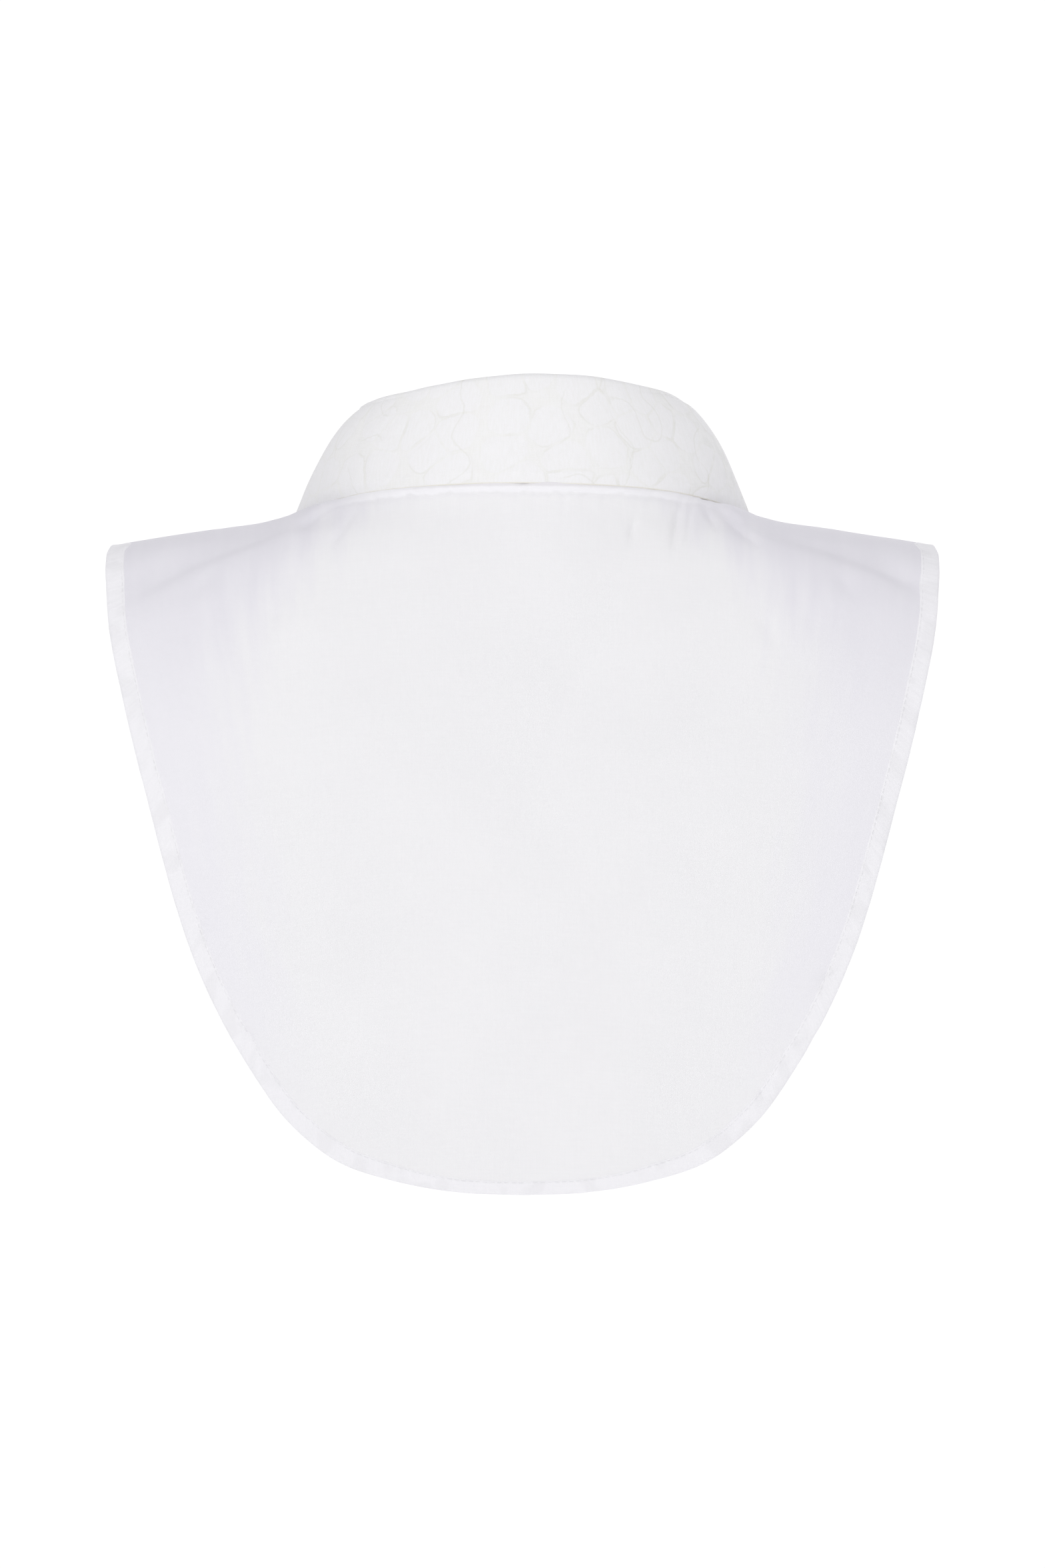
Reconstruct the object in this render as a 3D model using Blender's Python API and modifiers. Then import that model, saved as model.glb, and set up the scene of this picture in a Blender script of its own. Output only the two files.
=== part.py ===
"""Detachable collar in its worn form with nobody in it: bib panels, a stand, a leaf and buttons.

Up is +Z, the garment faces -Y, its left is +X. The origin is the centre of the neck opening
at the height of the side neck points. Angles round the neck start at the centre back,
reach +90 at the left shoulder ridge and +180 at the centre front.
"""
import math

import bmesh
import bpy
from mathutils import Matrix, Vector

COLLECTION = "detachable_collar"
CUTTERS = "cutters"

# Neck seam, an oval that falls towards the front
NECK_HALF_WIDTH = 0.0620
NECK_BACK_DEPTH = 0.0610
NECK_FRONT_DEPTH = 0.0660
NECK_SIDE_LEVEL = -0.0010
NECK_BACK_RISE = 0.0105
NECK_FRONT_FALL = 0.0470
FRONT_FALL_POWER = 1.5
BACK_RISE_FADE = 0.060

# Shoulder ridge, from the side neck point to the tip
RIDGE_SLOPE = 0.1548
TIP_HALF_WIDTH = 0.1610
TIP_LEVEL = -(TIP_HALF_WIDTH - NECK_HALF_WIDTH) * RIDGE_SLOPE
TIP_UP = TIP_LEVEL + NECK_SIDE_LEVEL
WIDTH_BELOW_TIP = 0.045
WIDTH_FADE = 0.0070

# Body form: at each level its depth behind and in front, and how round its corners are
BODY_COLUMNS = ("level", "back", "front", "power")
BODY_ROWS = (
    (0.000, 0.0610, 0.0660, 2.00),
    (-0.008, 0.0622, 0.0690, 1.50),
    (-0.016, 0.0638, 0.0720, 1.45),
    (-0.030, 0.0672, 0.0775, 1.70),
    (-0.060, 0.0740, 0.0880, 2.10),
    (-0.100, 0.0825, 0.0985, 2.20),
    (-0.150, 0.0880, 0.1050, 2.20),
    (-0.200, 0.0870, 0.1045, 2.20),
    (-0.290, 0.0800, 0.0980, 2.20),
)
BODY_FLOOR = -0.290
RIDGE_ANGLE = 90.0
HALVINGS = 30

# Outlines from the shoulder tip round to the middle of the lower edge, as seen from behind
OUTLINE_COLUMNS = ("across", "up")
BACK_OUTLINE = (
    (TIP_HALF_WIDTH, TIP_UP),
    (0.1624, -0.0200),
    (0.1624, -0.0317),
    (0.1603, -0.0525),
    (0.1561, -0.0733),
    (0.1513, -0.0941),
    (0.1459, -0.1149),
    (0.1405, -0.1357),
    (0.1347, -0.1565),
    (0.1276, -0.1773),
    (0.1183, -0.1981),
    (0.1064, -0.2189),
    (0.0915, -0.2397),
    (0.0724, -0.2553),
    (0.0500, -0.2631),
    (0.0250, -0.2675),
    (0.0000, -0.2686),
)
FRONT_OUTLINE = (
    (TIP_HALF_WIDTH, TIP_UP),
    (0.1608, -0.0200),
    (0.1600, -0.0317),
    (0.1572, -0.0525),
    (0.1528, -0.0733),
    (0.1478, -0.0941),
    (0.1424, -0.1149),
    (0.1368, -0.1357),
    (0.1306, -0.1565),
    (0.1228, -0.1773),
    (0.1126, -0.1981),
    (0.0998, -0.2175),
    (0.0840, -0.2355),
    (0.0650, -0.2490),
    (0.0440, -0.2570),
    (0.0220, -0.2610),
    (0.0000, -0.2620),
)

# Panel walls and their seams
PANEL_WALL = 0.0010
HEM_WALL = 0.0017
HEM_WIDTH = 0.0075
PLACKET_HALF_WIDTH = 0.0139
SEAM_GAP = 0.0003
SEAM_ANGLE = 95.0
SEAM_GAP_ANGLE = 0.32
SEAM_GAP_ANGLE_TIP = 0.14
PLACKET_ANGLE = 167.0
PLACKET_STEP_ANGLE = 1.0
PLACKET_COLUMNS = 4
FRONT_LAP_ANGLE = 193.0
FRONT_LAP_OUT = 0.0026
LAP_START_ANGLE = 140.0
LAP_FULL_ANGLE = 166.0
BACK_GRID = (50, 24)
FRONT_GRID = (24, 20)
HEM_ROWS = 2
HEM_STEP_SHARE = 0.15
HEM_SHARE_LIMIT = 0.2
LINE_CROWDING = 0.5
FOLD_START = 0.08
FOLD_END_SHARE = 0.35

# Folds of the back panel as seen from behind: one soft trough or ridge a row
FOLD_COLUMNS = ("x0", "z0", "x1", "z1", "half_width", "height")
BACK_FOLDS = (
    (0.096, -0.0080, 0.120, -0.0160, 0.0042, -0.0016),
    (0.118, -0.0150, 0.155, -0.0310, 0.0052, -0.0024),
    (0.112, -0.0330, 0.158, -0.0480, 0.0090, 0.0011),
    (0.070, -0.0040, 0.086, -0.0090, 0.0026, -0.0008),
    (0.093, -0.0330, 0.098, -0.0480, 0.0045, -0.0008),
    (0.119, -0.0240, 0.127, -0.0340, 0.0035, -0.0007),
    (-0.094, -0.0080, -0.114, -0.0145, 0.0040, -0.0014),
    (-0.112, -0.0140, -0.140, -0.0205, 0.0046, -0.0019),
    (-0.138, -0.0200, -0.156, -0.0330, 0.0050, -0.0021),
    (-0.104, -0.0300, -0.152, -0.0440, 0.0085, 0.0010),
    (-0.044, -0.0060, -0.042, -0.0130, 0.0026, -0.0006),
    (-0.062, -0.0020, -0.058, -0.0150, 0.0028, -0.0008),
    (-0.074, -0.0040, -0.090, -0.0150, 0.0030, -0.0009),
    (-0.122, -0.0260, -0.128, -0.0350, 0.0035, -0.0007),
    (-0.093, -0.0420, -0.099, -0.0530, 0.0042, -0.0007),
    (-0.043, -0.0200, 0.006, -0.1420, 0.0200, -0.0010),
    (0.060, -0.0500, 0.030, -0.1700, 0.0240, 0.0008),
    (0.088, -0.2310, 0.072, -0.2450, 0.0060, -0.0007),
    (-0.086, -0.2250, -0.074, -0.2420, 0.0060, -0.0007),
)
FRONT_FOLDS = (
    (0.098, -0.0130, 0.152, -0.0330, 0.0060, -0.0019),
    (0.108, -0.0420, 0.150, -0.0560, 0.0100, 0.0010),
    (0.100, -0.0750, 0.118, -0.1300, 0.0130, -0.0010),
    (0.052, -0.1150, 0.066, -0.2050, 0.0160, 0.0009),
    (-0.096, -0.0140, -0.150, -0.0300, 0.0058, -0.0018),
    (-0.112, -0.0470, -0.150, -0.0500, 0.0090, 0.0011),
    (-0.092, -0.0860, -0.106, -0.1420, 0.0140, -0.0011),
    (-0.060, -0.1280, -0.074, -0.1980, 0.0150, 0.0008),
)

# Stand, a band round the neck whose right end laps over the left
STAND_WALL = 0.0018
STAND_SEAT = 0.0006
STAND_BASE_INSET = 0.0014
STAND_TOP_HALF_WIDTH = 0.0582
STAND_TOP_BACK = 0.0540
STAND_TOP_FRONT = 0.0635
STAND_TOP_LEVEL = 0.0478
STAND_TOP_SIDE_FALL = 0.0113
STAND_TOP_LEAN = 0.0013
STAND_TOP_FRONT_FALL = 0.0560
STAND_FRONT_POWER = 1.55
STAND_LAP_OUT = 0.0022
STAND_GRID = (66, 4)

# Leaf, turned over the stand and falling outward to a free edge
LEAF_WALL = 0.0014
LEAF_SEAT = 0.0006
LEAF_RELIEF = 0.0004
LEAF_END_ANGLE = 175.5
ROLL_LEG = 0.0010
ROLL_RADIUS = 0.0013
ROLL_STEPS = 4
SWELL_POWER = 0.8
SWELL_RISE = 0.55
LEAF_GRID = (100, 13)
LEAF_COLUMNS = ("angle", "x", "y", "z", "bulge")
LEAF_EDGE = (
    (0.0, 0.0000, 0.0635, 0.0084, 0.0010),
    (20.0, 0.0262, 0.0586, 0.0079, 0.0012),
    (40.0, 0.0492, 0.0461, 0.0062, 0.0017),
    (60.0, 0.0672, 0.0291, 0.0034, 0.0024),
    (75.0, 0.0775, 0.0118, 0.0008, 0.0031),
    (90.0, 0.0852, -0.0070, -0.0036, 0.0036),
    (105.0, 0.0898, -0.0205, -0.0112, 0.0040),
    (120.0, 0.0896, -0.0350, -0.0222, 0.0044),
    (140.0, 0.0812, -0.0554, -0.0430, 0.0046),
    (160.0, 0.0655, -0.0724, -0.0640, 0.0044),
    (175.5, 0.0500, -0.0832, -0.0810, 0.0030),
)

# Raised lobes of the collar cloth, laid out in rows that are offset half a lobe
LOBE_PITCH = 0.0205
LOBE_ROW = 0.0165
LOBE_SWAY = 0.0035
SWAY_WAVES = 61.0
SMALL_SWAY_WAVES = 143.0
SMALL_SWAY_PHASE = 1.3
LOBE_FULLNESS = 0.6

# Buttons
BUTTON_RADIUS = 0.0055
BUTTON_HEIGHT = 0.0022
BUTTON_RIM = 0.0008
BUTTON_DISH = 0.0006
BUTTON_HOLE_RADIUS = 0.0008
BUTTON_HOLE_OFFSET = 0.0013
BUTTON_SEGMENTS = 22
HOLE_SEGMENTS = 8
BUTTON_DROPS = (0.22, 0.62)

FULL_WEIGHT = 1.0
TINY_ANGLE = 0.25
TINY_STEP = 0.002
TINY_LENGTH = 1e-9


def row_value(rows, columns, name, key):
    """Read one named column of a table at a key in its first column, with a smooth curve through the rows."""
    order = rows if rows[0][0] <= rows[-1][0] else rows[::-1]
    column = columns.index(name)
    if key <= order[0][0]:
        return order[0][column]
    if key >= order[-1][0]:
        return order[-1][column]
    low = max(i for i, row in enumerate(order) if row[0] <= key)
    low = min(low, len(order) - 2)
    return curve_between(order, low, column, (key - order[low][0]) / (order[low + 1][0] - order[low][0]))


def curve_between(rows, low, column, part):
    """Smooth value between two neighbouring rows, with the slopes of the rows on each side."""
    before = rows[max(low - 1, 0)]
    start = rows[low]
    end = rows[low + 1]
    after = rows[min(low + 2, len(rows) - 1)]
    span = end[0] - start[0]
    slope_start = span * (end[column] - before[column]) / (end[0] - before[0])
    slope_end = span * (after[column] - start[column]) / (after[0] - start[0])
    square = part * part
    cube = square * part
    return (
        (2 * cube - 3 * square + 1) * start[column]
        + (cube - 2 * square + part) * slope_start
        + (3 * square - 2 * cube) * end[column]
        + (cube - square) * slope_end
    )


def smooth(value):
    """Ease from 0 to 1 with flat ends."""
    part = min(max(value, 0.0), 1.0)
    return part * part * (3.0 - 2.0 * part)


def body_half_width(level):
    """Half the width of the body form at a level: the ridge line down to the tip, then a soft limit."""
    if level >= TIP_LEVEL:
        return NECK_HALF_WIDTH - level / RIDGE_SLOPE
    return TIP_HALF_WIDTH + WIDTH_BELOW_TIP * (1.0 - math.exp((level - TIP_LEVEL) / WIDTH_FADE))


def body_point(across, level, behind):
    """Point of the body form at a distance across and a level, on its back or its front."""
    depth = row_value(BODY_ROWS, BODY_COLUMNS, "back" if behind else "front", level)
    power = row_value(BODY_ROWS, BODY_COLUMNS, "power", level)
    share = min(abs(across) / body_half_width(level), 1.0)
    reach = (1.0 - share**power) ** (1.0 / power)
    if behind:
        rise = NECK_BACK_RISE * reach * math.exp(level / BACK_RISE_FADE)
        return Vector((across, depth * reach, NECK_SIDE_LEVEL + level + rise))
    fall = NECK_FRONT_FALL * reach**FRONT_FALL_POWER * (1.0 - level / BODY_FLOOR)
    return Vector((across, -depth * reach, NECK_SIDE_LEVEL + level - fall))


def level_at(across, up, behind):
    """Level of the body form whose point stands at a height, found by halving."""
    low = BODY_FLOOR
    high = 0.0
    if abs(across) > NECK_HALF_WIDTH:
        high = -(abs(across) - NECK_HALF_WIDTH) * RIDGE_SLOPE
    if abs(across) > TIP_HALF_WIDTH:
        share = (abs(across) - TIP_HALF_WIDTH) / WIDTH_BELOW_TIP
        high = TIP_LEVEL + WIDTH_FADE * math.log(1.0 - share)
    for _ in range(HALVINGS):
        middle = 0.5 * (low + high)
        if body_point(across, middle, behind).z < up:
            low = middle
        else:
            high = middle
    return 0.5 * (low + high)


def outline_length(rows):
    """Length of an outline table from the shoulder tip to the middle of the lower edge."""
    return sum(math.dist(start, end) for start, end in zip(rows, rows[1:]))


def walk_outline(rows, share):
    """Point at a share of the way along an outline table, measured along its length."""
    lengths = [0.0]
    for start, end in zip(rows, rows[1:]):
        lengths.append(lengths[-1] + math.dist(start, end))
    keyed = [(length,) + row for length, row in zip(lengths, rows)]
    columns = ("length",) + OUTLINE_COLUMNS
    goal = share * lengths[-1]
    return row_value(keyed, columns, "across", goal), row_value(keyed, columns, "up", goal)


def crowded(share):
    """Share of the outline for a share of the angle, with the lines crowded together near the ridge."""
    return (1.0 + LINE_CROWDING) * share * share / (share + LINE_CROWDING)


def outline_at(angle):
    """Outline point, across and up, where a line at this angle round the neck ends."""
    turn = abs(angle)
    if turn <= RIDGE_ANGLE:
        across, up = walk_outline(BACK_OUTLINE, crowded((RIDGE_ANGLE - turn) / RIDGE_ANGLE))
    elif turn <= PLACKET_ANGLE:
        placket_share = 1.0 - PLACKET_HALF_WIDTH / outline_length(FRONT_OUTLINE)
        span = (turn - RIDGE_ANGLE) / (PLACKET_ANGLE - RIDGE_ANGLE)
        across, up = walk_outline(FRONT_OUTLINE, placket_share * crowded(span))
    else:
        across = NECK_HALF_WIDTH * math.sin(math.radians(turn))
        across_share = abs(across) / outline_length(FRONT_OUTLINE)
        up = walk_outline(FRONT_OUTLINE, 1.0 - across_share)[1]
    return math.copysign(1.0, angle) * across, up


OUTLINE_CACHE = {}


def line_end(angle):
    """Across and level of the outer end of a line at this angle, kept for reuse."""
    key = round(angle, 5)
    if key not in OUTLINE_CACHE:
        across, up = outline_at(angle)
        behind = abs(angle) <= RIDGE_ANGLE
        OUTLINE_CACHE[key] = (across, level_at(across, up, behind))
    return OUTLINE_CACHE[key]


def bare_point(angle, out):
    """Point of the body form on the line at an angle, from the neck seam (0) to the outline (1)."""
    end_across, end_level = line_end(angle)
    start_across = NECK_HALF_WIDTH * math.sin(math.radians(angle))
    across = start_across + (end_across - start_across) * out
    return body_point(across, end_level * out, abs(angle) <= RIDGE_ANGLE)


def bare_normal(angle, out):
    """Outward direction of the body form on the line at an angle."""
    low_out = max(out - TINY_STEP, 0.0)
    high_out = min(out + TINY_STEP, 1.0)
    sideways = bare_point(angle + TINY_ANGLE, out) - bare_point(angle - TINY_ANGLE, out)
    outward = bare_point(angle, high_out) - bare_point(angle, low_out)
    normal = sideways.cross(outward)
    return normal.normalized() if normal.length > 0.0 else Vector((0.0, 0.0, 1.0))


def fold_height(rows, point):
    """Sum of the soft troughs and ridges of a fold table at a point seen from behind."""
    total = 0.0
    for x0, z0, x1, z1, half_width, height in rows:
        along_x = x1 - x0
        along_z = z1 - z0
        length_squared = along_x * along_x + along_z * along_z
        part = ((point.x - x0) * along_x + (point.z - z0) * along_z) / length_squared
        held = min(max(part, 0.0), 1.0)
        gap = math.hypot(point.x - x0 - held * along_x, point.z - z0 - held * along_z)
        fading = FOLD_END_SHARE + (1.0 - FOLD_END_SHARE) * math.sin(math.pi * held)
        total += height * fading * math.exp(-((gap / half_width) ** 2))
    return total


def lap_share(angle):
    """How far the right front has moved out over the left at an angle, from 0 to 1."""
    if angle > 0.0:
        return 0.0
    return smooth((-angle - LAP_START_ANGLE) / (LAP_FULL_ANGLE - LAP_START_ANGLE))


def panel_point(angle, out):
    """Inner point of a bib panel: the body form with its folds and the lap of the right front."""
    point = bare_point(angle, out)
    rows = BACK_FOLDS if abs(angle) <= RIDGE_ANGLE else FRONT_FOLDS
    height = fold_height(rows, point) * smooth(out / FOLD_START)
    height += FRONT_LAP_OUT * lap_share(angle)
    return point + bare_normal(angle, out) * height


def hem_share(angle):
    """Share of a line that the hem takes up, so that the hem keeps its width square to the edge."""
    end_across, end_up = outline_at(angle)
    near_across, near_up = outline_at(angle + TINY_ANGLE)
    back_across, back_up = outline_at(angle - TINY_ANGLE)
    along = Vector((near_across - back_across, near_up - back_up))
    start = Vector((NECK_HALF_WIDTH * math.sin(math.radians(angle)), 0.0))
    span = Vector((end_across, end_up)) - start
    square = abs(span.x * along.y - span.y * along.x) / max(along.length, TINY_LENGTH)
    return min(HEM_WIDTH / max(square, HEM_WIDTH), HEM_SHARE_LIMIT)


def row_out(row, rows, angle):
    """Place of a grid row on its line, with the last rows inside the hem."""
    inner_rows = rows - HEM_ROWS
    hem = hem_share(angle)
    if row <= inner_rows:
        return (1.0 - hem) * row / inner_rows
    if row < rows:
        return 1.0 - hem + hem * HEM_STEP_SHARE
    return 1.0


def new_material(name, color, roughness):
    """Plain shaded material with one colour."""
    material = bpy.data.materials.new(name)
    material.use_nodes = True
    shader = material.node_tree.nodes["Principled BSDF"]
    shader.inputs["Base Color"].default_value = (*color, 1.0)
    shader.inputs["Roughness"].default_value = roughness
    return material


def sheet_object(name, grid, place, weight_of, wall, material, collection):
    """Cloth piece: a grid laid by a function as the inner face, then walled outward to its weights."""
    columns, rows = grid
    mesh = bpy.data.meshes.new(name)
    shape = bmesh.new()
    bmesh.ops.create_grid(shape, x_segments=columns, y_segments=rows, size=1.0)
    weights = []
    for vertex in shape.verts:
        column = round((vertex.co.x + 1.0) * 0.5 * columns)
        row = round((vertex.co.y + 1.0) * 0.5 * rows)
        vertex.co = place(column, row)
        weights.append(weight_of(column, row))
    shape.to_mesh(mesh)
    shape.free()
    sheet = bpy.data.objects.new(name, mesh)
    sheet.data.materials.append(material)
    group = sheet.vertex_groups.new(name="wall")
    for index, weight in enumerate(weights):
        group.add([index], weight, "REPLACE")
    solidify = sheet.modifiers.new("wall", "SOLIDIFY")
    solidify.thickness = wall
    solidify.offset = 1.0
    solidify.use_quality_normals = True
    solidify.vertex_group = group.name
    solidify.thickness_vertex_group = 0.0
    collection.objects.link(sheet)
    return sheet


def seam_gap_end(out):
    """Angle where a front panel starts, one seam gap past the edge of the back panel."""
    return SEAM_ANGLE + SEAM_GAP_ANGLE + (SEAM_GAP_ANGLE_TIP - SEAM_GAP_ANGLE) * out


def add_back_panel(material, collection):
    """Back panel, from one shoulder seam round the neck to the other."""
    columns, rows = BACK_GRID

    def angle_of(column):
        return -SEAM_ANGLE + 2.0 * SEAM_ANGLE * column / columns

    def place(column, row):
        angle = angle_of(column)
        return panel_point(angle, row_out(row, rows, angle))

    def weight_of(column, row):
        return FULL_WEIGHT if row >= rows - HEM_ROWS + 1 else PANEL_WALL / HEM_WALL

    return sheet_object("back_panel", BACK_GRID, place, weight_of, HEM_WALL, material, collection)


def add_front_panel(name, side, material, collection):
    """Front panel of one side, from the shoulder seam to its edge past the centre front."""
    columns, rows = FRONT_GRID
    flat_columns = columns - PLACKET_COLUMNS - 1

    def from_seam(column):
        return column if side > 0 else columns - column

    def angle_of(column, row):
        near = seam_gap_end(row / rows)
        far = PLACKET_ANGLE - PLACKET_STEP_ANGLE
        place_in_row = from_seam(column)
        if place_in_row <= flat_columns:
            return side * (near + (far - near) * place_in_row / flat_columns)
        share = (place_in_row - flat_columns - 1) / PLACKET_COLUMNS
        return side * (PLACKET_ANGLE + (FRONT_LAP_ANGLE - PLACKET_ANGLE) * share)

    def place(column, row):
        angle = angle_of(column, row)
        return panel_point(angle, row_out(row, rows, angle))

    def weight_of(column, row):
        folded = from_seam(column) > flat_columns
        hem = row >= rows - HEM_ROWS + 1
        return FULL_WEIGHT if folded or hem else PANEL_WALL / HEM_WALL

    return sheet_object(name, FRONT_GRID, place, weight_of, HEM_WALL, material, collection)


def oval(half_width, back, front, angle, out):
    """Point across and along on an oval round the neck, moved out square to it."""
    turn = math.radians(angle)
    depth = back if math.cos(turn) >= 0.0 else front
    across = half_width * math.sin(turn)
    along = depth * math.cos(turn)
    normal = Vector((math.sin(turn) * depth, math.cos(turn) * half_width)).normalized()
    return Vector((across + normal.x * out, along + normal.y * out)), normal


def stand_top_level(angle):
    """Height of the stand's upper edge, lower at the sides and lowest in front."""
    turn = math.radians(angle)
    side_fall = STAND_TOP_SIDE_FALL * math.sin(turn) ** 2
    if math.cos(turn) >= 0.0:
        return STAND_TOP_LEVEL - side_fall - STAND_TOP_LEAN * math.sin(2.0 * turn)
    front_fall = STAND_TOP_FRONT_FALL * abs(math.cos(turn)) ** STAND_FRONT_POWER
    return STAND_TOP_LEVEL - STAND_TOP_SIDE_FALL - front_fall


def stand_base_level(angle):
    """Height of the stand's lower edge, just clear of the neck edge of the panels."""
    base = bare_point(angle, 0.0).z
    wall = PANEL_WALL if abs(angle) < PLACKET_ANGLE - PLACKET_STEP_ANGLE else HEM_WALL
    lift = (wall + FRONT_LAP_OUT * lap_share(angle)) * max(bare_normal(angle, 0.0).z, 0.0)
    return base + lift + STAND_SEAT


def stand_point(angle, down):
    """Inner point of the stand, from its upper edge (0) to its lower edge (1)."""
    out = STAND_LAP_OUT * lap_share(angle)
    top, _ = oval(STAND_TOP_HALF_WIDTH, STAND_TOP_BACK, STAND_TOP_FRONT, angle, out)
    base, _ = oval(NECK_HALF_WIDTH, NECK_BACK_DEPTH, NECK_FRONT_DEPTH, angle, out - STAND_BASE_INSET)
    plan = top.lerp(base, down)
    height = stand_top_level(angle) * (1.0 - down) + stand_base_level(angle) * down
    return Vector((plan.x, plan.y, height))


def add_stand(material, collection):
    """Stand round the neck, one wall of even thickness."""
    columns, rows = STAND_GRID

    def place(column, row):
        angle = -FRONT_LAP_ANGLE + 2.0 * FRONT_LAP_ANGLE * column / columns
        return stand_point(angle, row / rows)

    def weight_of(column, row):
        return FULL_WEIGHT

    return sheet_object("collar_stand", STAND_GRID, place, weight_of, STAND_WALL, material, collection)


def leaf_edge_point(angle):
    """Free edge of the leaf at an angle."""
    turn = abs(angle)
    side = math.copysign(1.0, angle)
    point = Vector([row_value(LEAF_EDGE, LEAF_COLUMNS, name, turn) for name in ("x", "y", "z")])
    point.x *= side
    return point


def leaf_section(angle, part):
    """Under face of the leaf: a short leg on the stand, the roll, then the fall to the free edge."""
    out = STAND_LAP_OUT * lap_share(angle) + STAND_WALL
    foot, normal = oval(STAND_TOP_HALF_WIDTH, STAND_TOP_BACK, STAND_TOP_FRONT, angle, out)
    outward = Vector((normal.x, normal.y, 0.0))
    start = Vector((foot.x, foot.y, stand_top_level(angle) + LEAF_SEAT))
    centre = start + outward * ROLL_RADIUS + Vector((0.0, 0.0, ROLL_LEG))
    if part < 0:
        return start
    if part <= ROLL_STEPS:
        turn = math.pi * part / ROLL_STEPS
        up = Vector((0.0, 0.0, math.sin(turn)))
        return centre + (up - outward * math.cos(turn)) * ROLL_RADIUS
    fall = (part - ROLL_STEPS) / (LEAF_GRID[1] - 1 - ROLL_STEPS)
    top = centre + outward * ROLL_RADIUS
    edge = leaf_edge_point(angle) + outward * STAND_LAP_OUT * lap_share(angle)
    bulge = row_value(LEAF_EDGE, LEAF_COLUMNS, "bulge", abs(angle))
    swell = bulge * math.sin(math.pi * fall**SWELL_POWER)
    lift = Vector((outward.x, outward.y, SWELL_RISE)).normalized()
    return top.lerp(edge, fall) + lift * swell


def lobe_relief(along, down):
    """Raised form of the collar cloth: rounded lobes in offset rows, with a low furrow between them."""
    small_sway = 0.5 * math.sin(along * SMALL_SWAY_WAVES + SMALL_SWAY_PHASE)
    row = (down + LOBE_SWAY * (math.sin(along * SWAY_WAVES) + small_sway)) / LOBE_ROW
    shift = 0.5 * (math.floor(row) % 2)
    height = abs(math.sin(math.pi * (along / LOBE_PITCH + shift))) * abs(math.sin(math.pi * row))
    return height**LOBE_FULLNESS


def add_leaf(material, collection):
    """Leaf turned over the stand, with low lobes raised in its outer face."""
    columns, rows = LEAF_GRID
    wall = LEAF_WALL + LEAF_RELIEF

    def angle_of(column):
        return -LEAF_END_ANGLE + 2.0 * LEAF_END_ANGLE * column / columns

    def place(column, row):
        return leaf_section(angle_of(column), row - 1)

    def weight_of(column, row):
        inside = 0 < column < columns and ROLL_STEPS < row < rows
        point = place(column, row)
        top = place(column, ROLL_STEPS + 1)
        along = math.radians(angle_of(column)) * 0.5 * (point.to_2d().length + top.to_2d().length)
        raised = lobe_relief(along, (point - top).length) if inside else 0.0
        return (LEAF_WALL + LEAF_RELIEF * raised) / wall

    return sheet_object("collar_leaf", LEAF_GRID, place, weight_of, wall, material, collection)


def button_profile():
    """Half profile of a dished button, from the rim's inner step down its outer side to the base."""
    dish = BUTTON_HEIGHT - BUTTON_DISH
    inner = BUTTON_RADIUS - 2.0 * BUTTON_RIM
    return (
        (0.0, dish),
        (inner, dish),
        (inner + 0.4 * BUTTON_RIM, BUTTON_HEIGHT),
        (BUTTON_RADIUS - 0.4 * BUTTON_RIM, BUTTON_HEIGHT),
        (BUTTON_RADIUS, BUTTON_HEIGHT - 0.5 * BUTTON_RIM),
        (BUTTON_RADIUS, BUTTON_RIM),
        (BUTTON_RADIUS - BUTTON_RIM, 0.0),
        (0.0, 0.0),
    )


def hole_cutter(name, cutters):
    """Four round posts that pierce the button."""
    mesh = bpy.data.meshes.new(name)
    shape = bmesh.new()
    for sign_x in (-1.0, 1.0):
        for sign_y in (-1.0, 1.0):
            place = Matrix.Translation((sign_x * BUTTON_HOLE_OFFSET, sign_y * BUTTON_HOLE_OFFSET, 0.0))
            bmesh.ops.create_cone(
                shape,
                cap_ends=True,
                segments=HOLE_SEGMENTS,
                radius1=BUTTON_HOLE_RADIUS,
                radius2=BUTTON_HOLE_RADIUS,
                depth=4.0 * BUTTON_HEIGHT,
                matrix=place,
            )
    shape.to_mesh(mesh)
    shape.free()
    cutter = bpy.data.objects.new(name, mesh)
    cutter.hide_render = True
    cutter.display_type = "WIRE"
    cutters.objects.link(cutter)
    return cutter


def add_button(name, seat, normal, material, collection, cutters):
    """Round four-hole button turned from a profile and set square to the cloth."""
    mesh = bpy.data.meshes.new(name)
    profile = button_profile()
    edges = [(i, i + 1) for i in range(len(profile) - 1)]
    mesh.from_pydata([(x, 0.0, z) for x, z in profile], edges, [])
    button = bpy.data.objects.new(name, mesh)
    button.data.materials.append(material)
    button.matrix_world = Matrix.Translation(seat) @ normal.to_track_quat("Z", "Y").to_matrix().to_4x4()
    screw = button.modifiers.new("turn", "SCREW")
    screw.steps = BUTTON_SEGMENTS
    screw.render_steps = BUTTON_SEGMENTS
    screw.use_merge_vertices = True
    screw.merge_threshold = 0.00005
    cutter = hole_cutter(name + "_holes", cutters)
    cutter.matrix_world = button.matrix_world
    cut = button.modifiers.new("holes", "BOOLEAN")
    cut.operation = "DIFFERENCE"
    cut.solver = "EXACT"
    cut.object = cutter
    collection.objects.link(button)
    return button


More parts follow.
